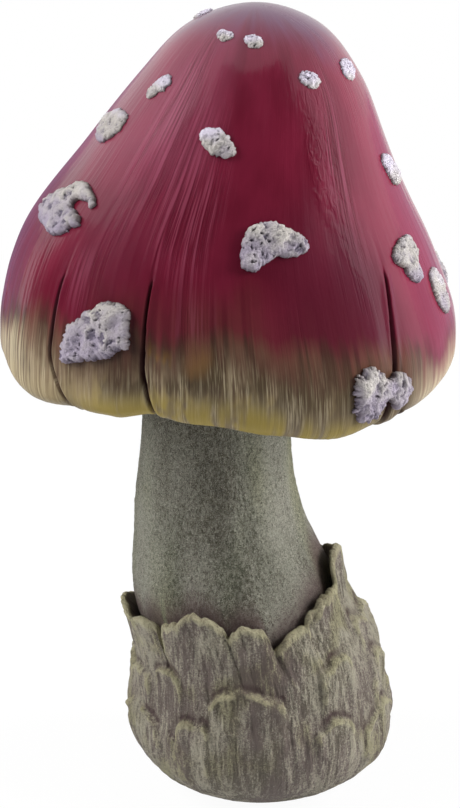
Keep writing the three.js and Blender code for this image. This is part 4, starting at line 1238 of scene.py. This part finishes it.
class FIGURINE_OT_warts(bpy.types.Operator):
    """Make the 25 plaster warts on the cap"""

    bl_idname = "figurine.warts"
    bl_label = "Warts"

    def execute(self, context):
        look = context.scene.figurine.warts
        finish = wart_finish(look)
        for seed, (name, (bearing, share, thick, spec)) in enumerate(WARTS.items()):
            edge = ragged_edge(spec, seed, WART_SPIKES.get(name, WART_SPIKE))
            form, spots = trimmed_slab(edge, WART_CELL)
            x, y, top = spots.T
            reach = np.maximum(nearest_on(edge, spots[:, :2])[1], 0)
            size = np.ptp(y) / 2

            # Lumps, and painted light: plaster paler towards the top, on the small warts and on the lit right
            # side, darker on the low warts
            lump = grain(0.16, x, y, seed + 20)
            fine = grain(1.1, x, y, seed + 30, 3)
            lit = patch(bearing, *LIT_SIDE)
            dust = np.clip(0.4 + 0.55 * y / size + 0.5 * lump - 0.3 * eased(share, 0.7, 0.9), -1, 1)

            # Hollows between ridges, which follow bent cells, and small dimples and pits
            bent_x = x + 1.3 * grain(0.4, x, y, seed + 0.5, 2)
            bent_y = y + 1.3 * grain(0.4, x, y, seed + 7.5, 2)
            near, second, _ = cells(by_size(size, 0.31, 0.2), bent_x, bent_y, seed * 5)
            hollow = eased(second - near, 0.02, 0.58) * (1 - 0.5 * eased(dust, 0.45, 1)) * (1 - 0.5 * lit)
            near, second, tag = cells(0.7, bent_x, bent_y, seed * 3 + 50)
            dimple = eased(second - near, 0.05, 0.5) * by_size(size, 1, 0.45)
            pit = (1 - eased(near, 0.2, 0.46)) * (tag > 0.7) * eased(reach, 0.3, 0.9)

            height = thick * np.interp(size, [4, 11], [0.55, 1])
            height = height * (0.45 + 0.45 * (1 - np.exp(-reach))) * (0.9 + 0.5 * lump)
            carving = (0.4 - hollow) + 0.45 * (0.4 - dimple)
            height += look.relief * METRE * carving * eased(reach, 0, 1.2)
            height += by_size(size, 0.5, 0.32) * fine - 1.1 * pit
            height = np.where(top > 0.5, np.maximum(height, WART_LEAST), WART_FOOT)
            place = share - y / OUTLINE_LENGTH
            across = np.degrees(x / outline(place)[0])
            make_piece(
                f"wart_{name}_plaster",
                form,
                cap_point(bearing + across, place, height),
                finish,
                "wart_paint",
                [f"wart_{name}"],
                relief=1 - by_size(size, 0.1, 0.74) * hollow - 0.2 * dimple + 0.3 * fine,
                # Painted light: the small warts, which face up, and those on the lit side are paler
                dust=dust + np.interp(size, [5, 10], [1, 0]) + 0.5 * lit,
                pit=pit,
                # Painted shade down a wart's sides and along the foot of its top's edge
                foot=np.where(top > 0.5, 0.5 * bell(reach, 0.4), 0.85),
            )
        return {"FINISHED"}


class FIGURINE_OT_stem(bpy.types.Operator):
    """Make the stem with its lumps and flutes"""

    bl_idname = "figurine.stem"
    bl_label = "Stem"

    def execute(self, context):
        look = context.scene.figurine.stem
        heights = np.array([STEM_FOOT, *np.linspace(STEM_FOOT, 228, STEM_RINGS), STEM_TOP, STEM_TOP])
        form, ring, bearing = lathe(len(heights), STEM_COLUMNS)
        z = heights[ring]
        radius = stem_radius(z)
        x, y, _ = around(0, radius, bearing, z).T
        flute = FLUTE_DEPTH * patch(bearing + (z - FLUTE_MIDDLE) * FLUTE_LEAN, *FLUTE)
        flute += grain(0.05, x, y, z * 0.008, 2)
        lump = grain(0.22, x, y, z * 0.1, 3)
        crust = grain(0.55, x, y, z * 0.35, 2)
        lift = look.lump * METRE * (flute + 0.45 * lump + 0.3 * crust)
        seen = (z >= STEM_SEEN_FROM) & (z <= STEM_SEEN_TO)
        lift = np.where(seen, lift, 0) - STEM_SUNK
        off = np.where((ring == 0) | (ring == len(heights) - 1), -radius, lift)
        make_piece(
            "stem_column",
            form,
            stem_point(bearing, z, off),
            stem_finish(look),
            "stem_paint",
            ["stem"],
            blush=bell(z - round_line(COLLAR_EDGE, bearing), COLLAR_SHADE_HEIGHT),
        )
        return {"FINISHED"}


def nearest_on_line(knots, b, h, scale):
    """Distance from spots at a bearing and a height to a line through knots, with a scale for bearings."""
    far = np.full(len(b), np.inf)
    for (b0, h0), (b1, h1) in zip(knots, knots[1:]):
        dx, dy = (b1 - b0) * scale, h1 - h0
        px, py = (b - b0) * scale, h - h0
        t = np.clip((px * dx + py * dy) / (dx * dx + dy * dy), 0, 1)
        far = np.minimum(far, np.hypot(px - t * dx, py - t * dy))
    return far


def flap_layers(bearing, z):
    """How far the flaps raise the bulb's skin, and their dry-brushed edges and the painted shade in the
    hollows above them.
    """
    raised, edge, recess = np.zeros(len(z)), np.zeros(len(z)), np.zeros(len(z))
    scale = np.radians(1) * BULB_MEAN_RADIUS
    for proud, fade, line in FLAPS:
        knots = np.array(line, float)
        middle = knots[:, 0].mean()
        half = np.ptp(knots[:, 0]) / 2
        off = turn(middle, bearing)
        beside = np.abs(off) < half + FLAP_MARGIN
        close = beside & (z < knots[:, 1].max() + FLAP_MARGIN) & (z > knots[:, 1].min() - fade)
        knots[:, 0] -= middle
        at, tops = knots.T

        # Spots that are shifted, so that the edge is ragged, and patches where it is broken off
        wide, tall = off[close] * 1.05, z[close]
        b = off[close] + 1.2 * grain(0.16, wide, tall, middle) + 0.5 * grain(0.5, wide, tall, middle)
        h = tall + 1.2 * grain(0.16, wide, tall, middle + 9) + 0.6 * grain(0.45, wide, tall / 1.5, middle + 9)
        broken = np.clip(0.8 + 1.1 * grain(0.12, wide, tall, middle + 5, 2), 0.15, 1.3)

        depth = np.interp(b, at, tops) - h
        far = nearest_on_line(knots, b, h, scale)
        within = (b > at[0]) & (b < at[-1])
        inward = np.where(within & (depth > 0), far, -far)
        side = np.minimum(np.abs(b - at[0]), np.abs(b - at[-1])) * scale
        ends = eased(side, 0, FLAP_END) * within
        body = proud * (0.5 + 0.5 * broken) * eased(inward, -0.5, 1.7) * (1 - eased(depth / fade, 0.1, 1))
        raised[close] += (body + 0.5 * broken * bell(inward - EDGE_IN, 1.3)) * ends
        edge[close] = np.maximum(edge[close], broken * bell(inward - EDGE_IN, 1.7) * ends)
        # Painted shade in the hollow just above a scale's edge
        recess[close] = np.maximum(recess[close], broken * bell(inward + 1.6, 1.4) * ends)
    return raised, edge, recess


class FIGURINE_OT_bulb(bpy.types.Operator):
    """Make the bulb with its scales, and the ragged collar round the stem"""

    bl_idname = "figurine.bulb"
    bl_label = "Bulb"

    def execute(self, context):
        look = context.scene.figurine.bulb
        zones = (POCKET, BODY_HEIGHTS, COLLAR_STEPS, EDGE_STEPS, INNER_STEPS, SEAT)
        starts = np.cumsum([0, *map(len, zones)])
        form, ring, column = lathe(starts[-1], BULB_COLUMNS)
        zone = np.searchsorted(starts, ring, side="right") - 1
        _, in_body, in_collar, on_edge, in_inner, _ = (zone == number for number in range(len(zones)))

        def step(number):
            """Value of the ring in a zone, for every vertex."""
            return zones[number][np.clip(ring - starts[number], 0, len(zones[number]) - 1)]

        bearing = column - FRONT_GATHERING * np.cos(np.radians(column))
        edge_height = collar_edge(bearing)
        gap = round_line(COLLAR_GAP, bearing)
        z = np.where(in_body, step(1), 0)
        z = np.where(in_collar, SHOULDER_HEIGHT + (edge_height - SHOULDER_HEIGHT) * step(2), z)
        x, y, _ = around(0, BULB_MEAN_RADIUS, bearing, 0).T
        raised, edge, recess = flap_layers(bearing, z)
        groove = grain(0.3, x, y, z * 0.035, 3) + 0.6 * grain(0.8, x, y, z * 0.07, 2)
        lump = grain(0.07, x, y, z * 0.06, 2)
        skin = raised + look.groove * METRE * groove * eased(z, 2, 10) + 0.9 * lump * eased(z, 4, 16) - 0.3
        outside = in_body | in_collar
        near_edge = np.where(in_collar, bell(edge_height - z, 2.4), 0)
        skin = skin + 0.3 * near_edge
        points = cup_point(bearing, z, np.where(outside, skin, 0))

        # Over the edge of the collar and down its inside
        rim = ring == starts[3] - 1
        order = np.argsort(bearing[rim])
        outer_off = gap + np.interp(bearing, bearing[rim][order], skin[rim][order], period=360)
        thickness = PETAL_THICKNESS * (0.85 + 0.35 * grain(0.12, x, y, 7))
        inner_off = np.maximum(gap - thickness, GLUE_GAP)
        over, back = step(3), step(4)
        round_off = (outer_off + inner_off) / 2 + (outer_off - inner_off) / 2 * np.cos(np.pi * over)
        crest = edge_height + 1.3 * np.sin(np.pi * over)
        points = np.where(on_edge[:, None], stem_point(bearing, crest, round_off), points)
        inside_z = COLLAR_ROOT + (edge_height - COLLAR_ROOT) * back
        inside_off = GLUE_GAP + (inner_off - GLUE_GAP) * back**2
        points = np.where(in_inner[:, None], stem_point(bearing, inside_z, inside_off), points)

        # Foot and pocket below, and the seat under the stem
        for number, (pocket_radius, height) in enumerate(POCKET):
            on = ring == number
            points[on] = around(0, pocket_radius, bearing[on], height)
        for number, (off, height) in enumerate(SEAT):
            on = ring == starts[5] + number
            points[on] = stem_point(bearing[on], height, off)
        make_piece(
            "bulb_cup",
            form,
            points,
            bulb_finish(look),
            "bulb_paint",
            ["volva_cup"],
            edge=np.clip(np.where(outside, np.maximum(edge, near_edge), 0) + on_edge * 0.9, 0, 1),
            # Painted shade, deepest down inside the collar
            recess=np.clip(np.where(outside, recess, 0) + np.where(in_inner, 1 - 0.6 * back, 0), 0, 1),
        )
        return {"FINISHED"}


class FIGURINE_OT_inner_parts(bpy.types.Operator):
    """Finish the foot disc, ballast, dowel and socket"""

    bl_idname = "figurine.inner_parts"
    bl_label = "Inner parts"

    def execute(self, context):
        look = context.scene.figurine.inner
        resin = casting_finish("bare_casting", look.resin, darker(look.resin, 0.8), 60)
        stone = casting_finish("ballast_stone", look.stone, darker(look.stone, 0.6), 140)
        wood = wood_finish("dowel_wood", look.wood, darker(look.wood, 0.6))
        finishes = {"base_disc": resin, "stem_socket": resin, "ballast_core": stone, "joining_dowel": wood}
        for name, finish in finishes.items():
            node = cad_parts[name]
            node.data.materials.clear()
            node.data.materials.append(finish)
        return {"FINISHED"}


# Stage, in metres

# Rows of the cards from foot to head: azimuth of both ends, radius and height
FRONT_CARD = [
    (-112, 84, 0.14, 0.001),
    (-118, 87, 1.6, 0.001),
    (-118, 87, 1.6, 0.45),
    (-108, 73, 1.6, 1.08),
    (-94, 58, 1.6, 1.35),
    (-78, 56, 1.6, 1.75),
    (-64, 56, 1.6, 2.1),
    (-60, 60, 1.6, 3.6),
]
BACK_CARD = [(-184, -118, 0.42, 0), (-184, -118, 0.42, 0.34)]
RIGHT_CARD = [(98, 150, 0.42, 0), (104, 150, 0.42, 0.34)]
CARD_COLUMNS = 48

# Lamps: azimuth, distance from the middle, height, size and the setting of their power
LAMPS = {
    "left_lamp": (-84, 1.5, 1.25, 1.0, "side"),
    "right_lamp": (86, 1.5, 0.85, 1.0, "side"),
    "top_lamp": (0, 0.3, 1.5, 1.4, "top"),
}
LAMP_TARGET = (0, 0, 0.22)

# Floor: half its width, how far it lies below the figurine, and the distances and shares of its glow
FLOOR_HALF = 4
FLOOR_DROP = 0.0003
FLOOR_GLOW = (0.25, 0.9, 0.95, 1)

CAMERA_PLACE = (-0.014, -1.085, 0.585)
CAMERA_PITCH = 70
CAMERA_LENS = 110.495
CAMERA_SENSOR = 36


def ring_place(azimuth, radius, height):
    """Point at an azimuth, which is 0 towards the camera and grows to the right."""
    angle = math.radians(azimuth)
    return radius * math.sin(angle), -radius * math.cos(angle), height


def staged(name, form, finish):
    """Makes an item of the stage."""
    mesh = bpy.data.meshes.new(name)
    form.to_mesh(mesh)
    form.free()
    item = make_object(name, mesh, finish)
    return item


def background_rays(tree):
    """1 for rays that show the background: straight to the camera, reflected or through glass."""
    path = tree.nodes.new("ShaderNodeLightPath")
    total = path.outputs["Is Camera Ray"]
    for name in ("Is Glossy Ray", "Is Transmission Ray"):
        both = tree.nodes.new("ShaderNodeMath")
        both.operation = "MAXIMUM"
        tree.links.new(total, both.inputs[0])
        tree.links.new(path.outputs[name], both.inputs[1])
        total = both.outputs[0]
    return total


def stage_floor(look):
    """Pale floor that glows like the background, and is clear from below."""
    form = bmesh.new()
    bmesh.ops.create_grid(form, x_segments=8, y_segments=8, size=FLOOR_HALF)
    bmesh.ops.translate(form, vec=(0, 0, -FLOOR_DROP), verts=form.verts)
    f = Finish("floor")
    matte = f.add("BsdfDiffuse", {"Color": look.floor})
    glow = f.add("Emission", {"Color": (1, 1, 1), "Strength": 1})
    apart = f.add("VectorMath", {"Vector": f.place()}, "Value", operation="LENGTH")
    share = f.times(background_rays(f.tree), f.ramp(apart, *FLOOR_GLOW))
    surface = f.add("MixShader", {0: share, 1: matte, 2: glow})
    under = f.add("NewGeometry", output="Backfacing")
    staged("floor", form, f.show(f.add("MixShader", {0: under, 1: surface, 2: f.add("BsdfTransparent")})))


def stage_card(name, card_colour, rows):
    """Card hung round the figurine from its rows, which only reflections show."""
    form = bmesh.new()
    spans = len(rows) - 1
    bmesh.ops.create_grid(form, x_segments=CARD_COLUMNS, y_segments=spans, size=0.5)
    for vert in form.verts:
        start, end, radius, height = rows[round((vert.co.y + 0.5) * spans)]
        vert.co = ring_place(start + (end - start) * (vert.co.x + 0.5), radius, height)
    f = Finish(name)
    item = staged(name, form, f.show(f.add("Emission", {"Color": card_colour})))
    item.visible_camera = item.visible_diffuse = item.visible_shadow = False


def stage_room(look):
    """White background, with softer light on what it doesn't show behind."""
    world = bpy.data.worlds.new("room")
    world.use_nodes = True
    tree = world.node_tree
    tree.nodes.clear()
    output = tree.nodes.new("ShaderNodeOutputWorld")
    mix = tree.nodes.new("ShaderNodeMixShader")
    for number, strength in ((1, look.world), (2, 1)):
        light = tree.nodes.new("ShaderNodeBackground")
        light.inputs["Color"].default_value = (1, 1, 1, 1)
        light.inputs["Strength"].default_value = strength
        tree.links.new(light.outputs[0], mix.inputs[number])
    tree.links.new(background_rays(tree), mix.inputs[0])
    tree.links.new(mix.outputs[0], output.inputs["Surface"])
    bpy.context.scene.world = world


def stage_lamps(look):
    """Square lamps that light the figurine, but aren't seen or reflected."""
    for name, (azimuth, away, height, size, power) in LAMPS.items():
        lamp = bpy.data.lights.new(name, "AREA")
        lamp.size = size
        lamp.energy = getattr(look, power)
        item = bpy.data.objects.new(name, lamp)
        item.location = ring_place(azimuth, away, height)
        toward = Vector(LAMP_TARGET) - item.location
        item.rotation_euler = toward.to_track_quat("-Z", "Y").to_euler()
        item.visible_camera = item.visible_glossy = False
        bpy.context.scene.collection.objects.link(item)


def stage_camera(scene):
    """Camera in front of the figurine, a little above it."""
    camera = bpy.data.cameras.new("camera")
    camera.sensor_fit = "VERTICAL"
    camera.sensor_height = CAMERA_SENSOR
    camera.lens = CAMERA_LENS
    camera.clip_start, camera.clip_end = 0.05, 50
    stand = bpy.data.objects.new("camera", camera)
    stand.location = CAMERA_PLACE
    stand.rotation_euler = (math.radians(CAMERA_PITCH), 0, 0)
    scene.collection.objects.link(stand)
    scene.camera = stand


class FIGURINE_OT_stage(bpy.types.Operator):
    """Set up the floor, the cards, the room, the lamps and the camera"""

    bl_idname = "figurine.stage"
    bl_label = "Stage"

    def execute(self, context):
        look = context.scene.figurine.stage
        stage_floor(look)
        stage_card("front_card", look.card, FRONT_CARD)
        stage_card("back_card", look.back_card, BACK_CARD)
        stage_card("right_card", look.right_card, RIGHT_CARD)
        stage_room(look)
        stage_lamps(look)
        stage_camera(context.scene)
        context.scene.view_settings.view_transform = "Standard"
        return {"FINISHED"}


class FIGURINE_PT_pieces(bpy.types.Panel):
    """Lists the operators that make the figurine and its studio"""

    bl_idname = "FIGURINE_PT_pieces"
    bl_label = "Figurine"
    bl_space_type = "VIEW_3D"
    bl_region_type = "UI"
    bl_category = "Figurine"

    def draw(self, context):
        settings = context.scene.figurine
        for operator, group in PIECES.items():
            box = self.layout.box()
            box.operator(operator.bl_idname)
            looks = getattr(settings, group)
            for key in looks.bl_rna.properties.keys():
                if key not in ("rna_type", "name"):
                    box.prop(looks, key)


PIECES = {
    FIGURINE_OT_cap: "cap",
    FIGURINE_OT_gills: "gills",
    FIGURINE_OT_warts: "warts",
    FIGURINE_OT_stem: "stem",
    FIGURINE_OT_bulb: "bulb",
    FIGURINE_OT_inner_parts: "inner",
    FIGURINE_OT_stage: "stage",
}
CLASSES = (
    CapSettings,
    GillSettings,
    WartSettings,
    StemSettings,
    BulbSettings,
    InnerSettings,
    StageSettings,
    FigurineSettings,
    *PIECES,
    FIGURINE_PT_pieces,
)


def register():
    for item in CLASSES:
        bpy.utils.register_class(item)
    bpy.types.Scene.figurine = PointerProperty(type=FigurineSettings)


def unregister():
    del bpy.types.Scene.figurine
    for item in reversed(CLASSES):
        bpy.utils.unregister_class(item)


def main():
    register()
    for operator in PIECES:
        module, name = operator.bl_idname.split(".")
        getattr(getattr(bpy.ops, module), name)()


if __name__ == "__main__":
    main()
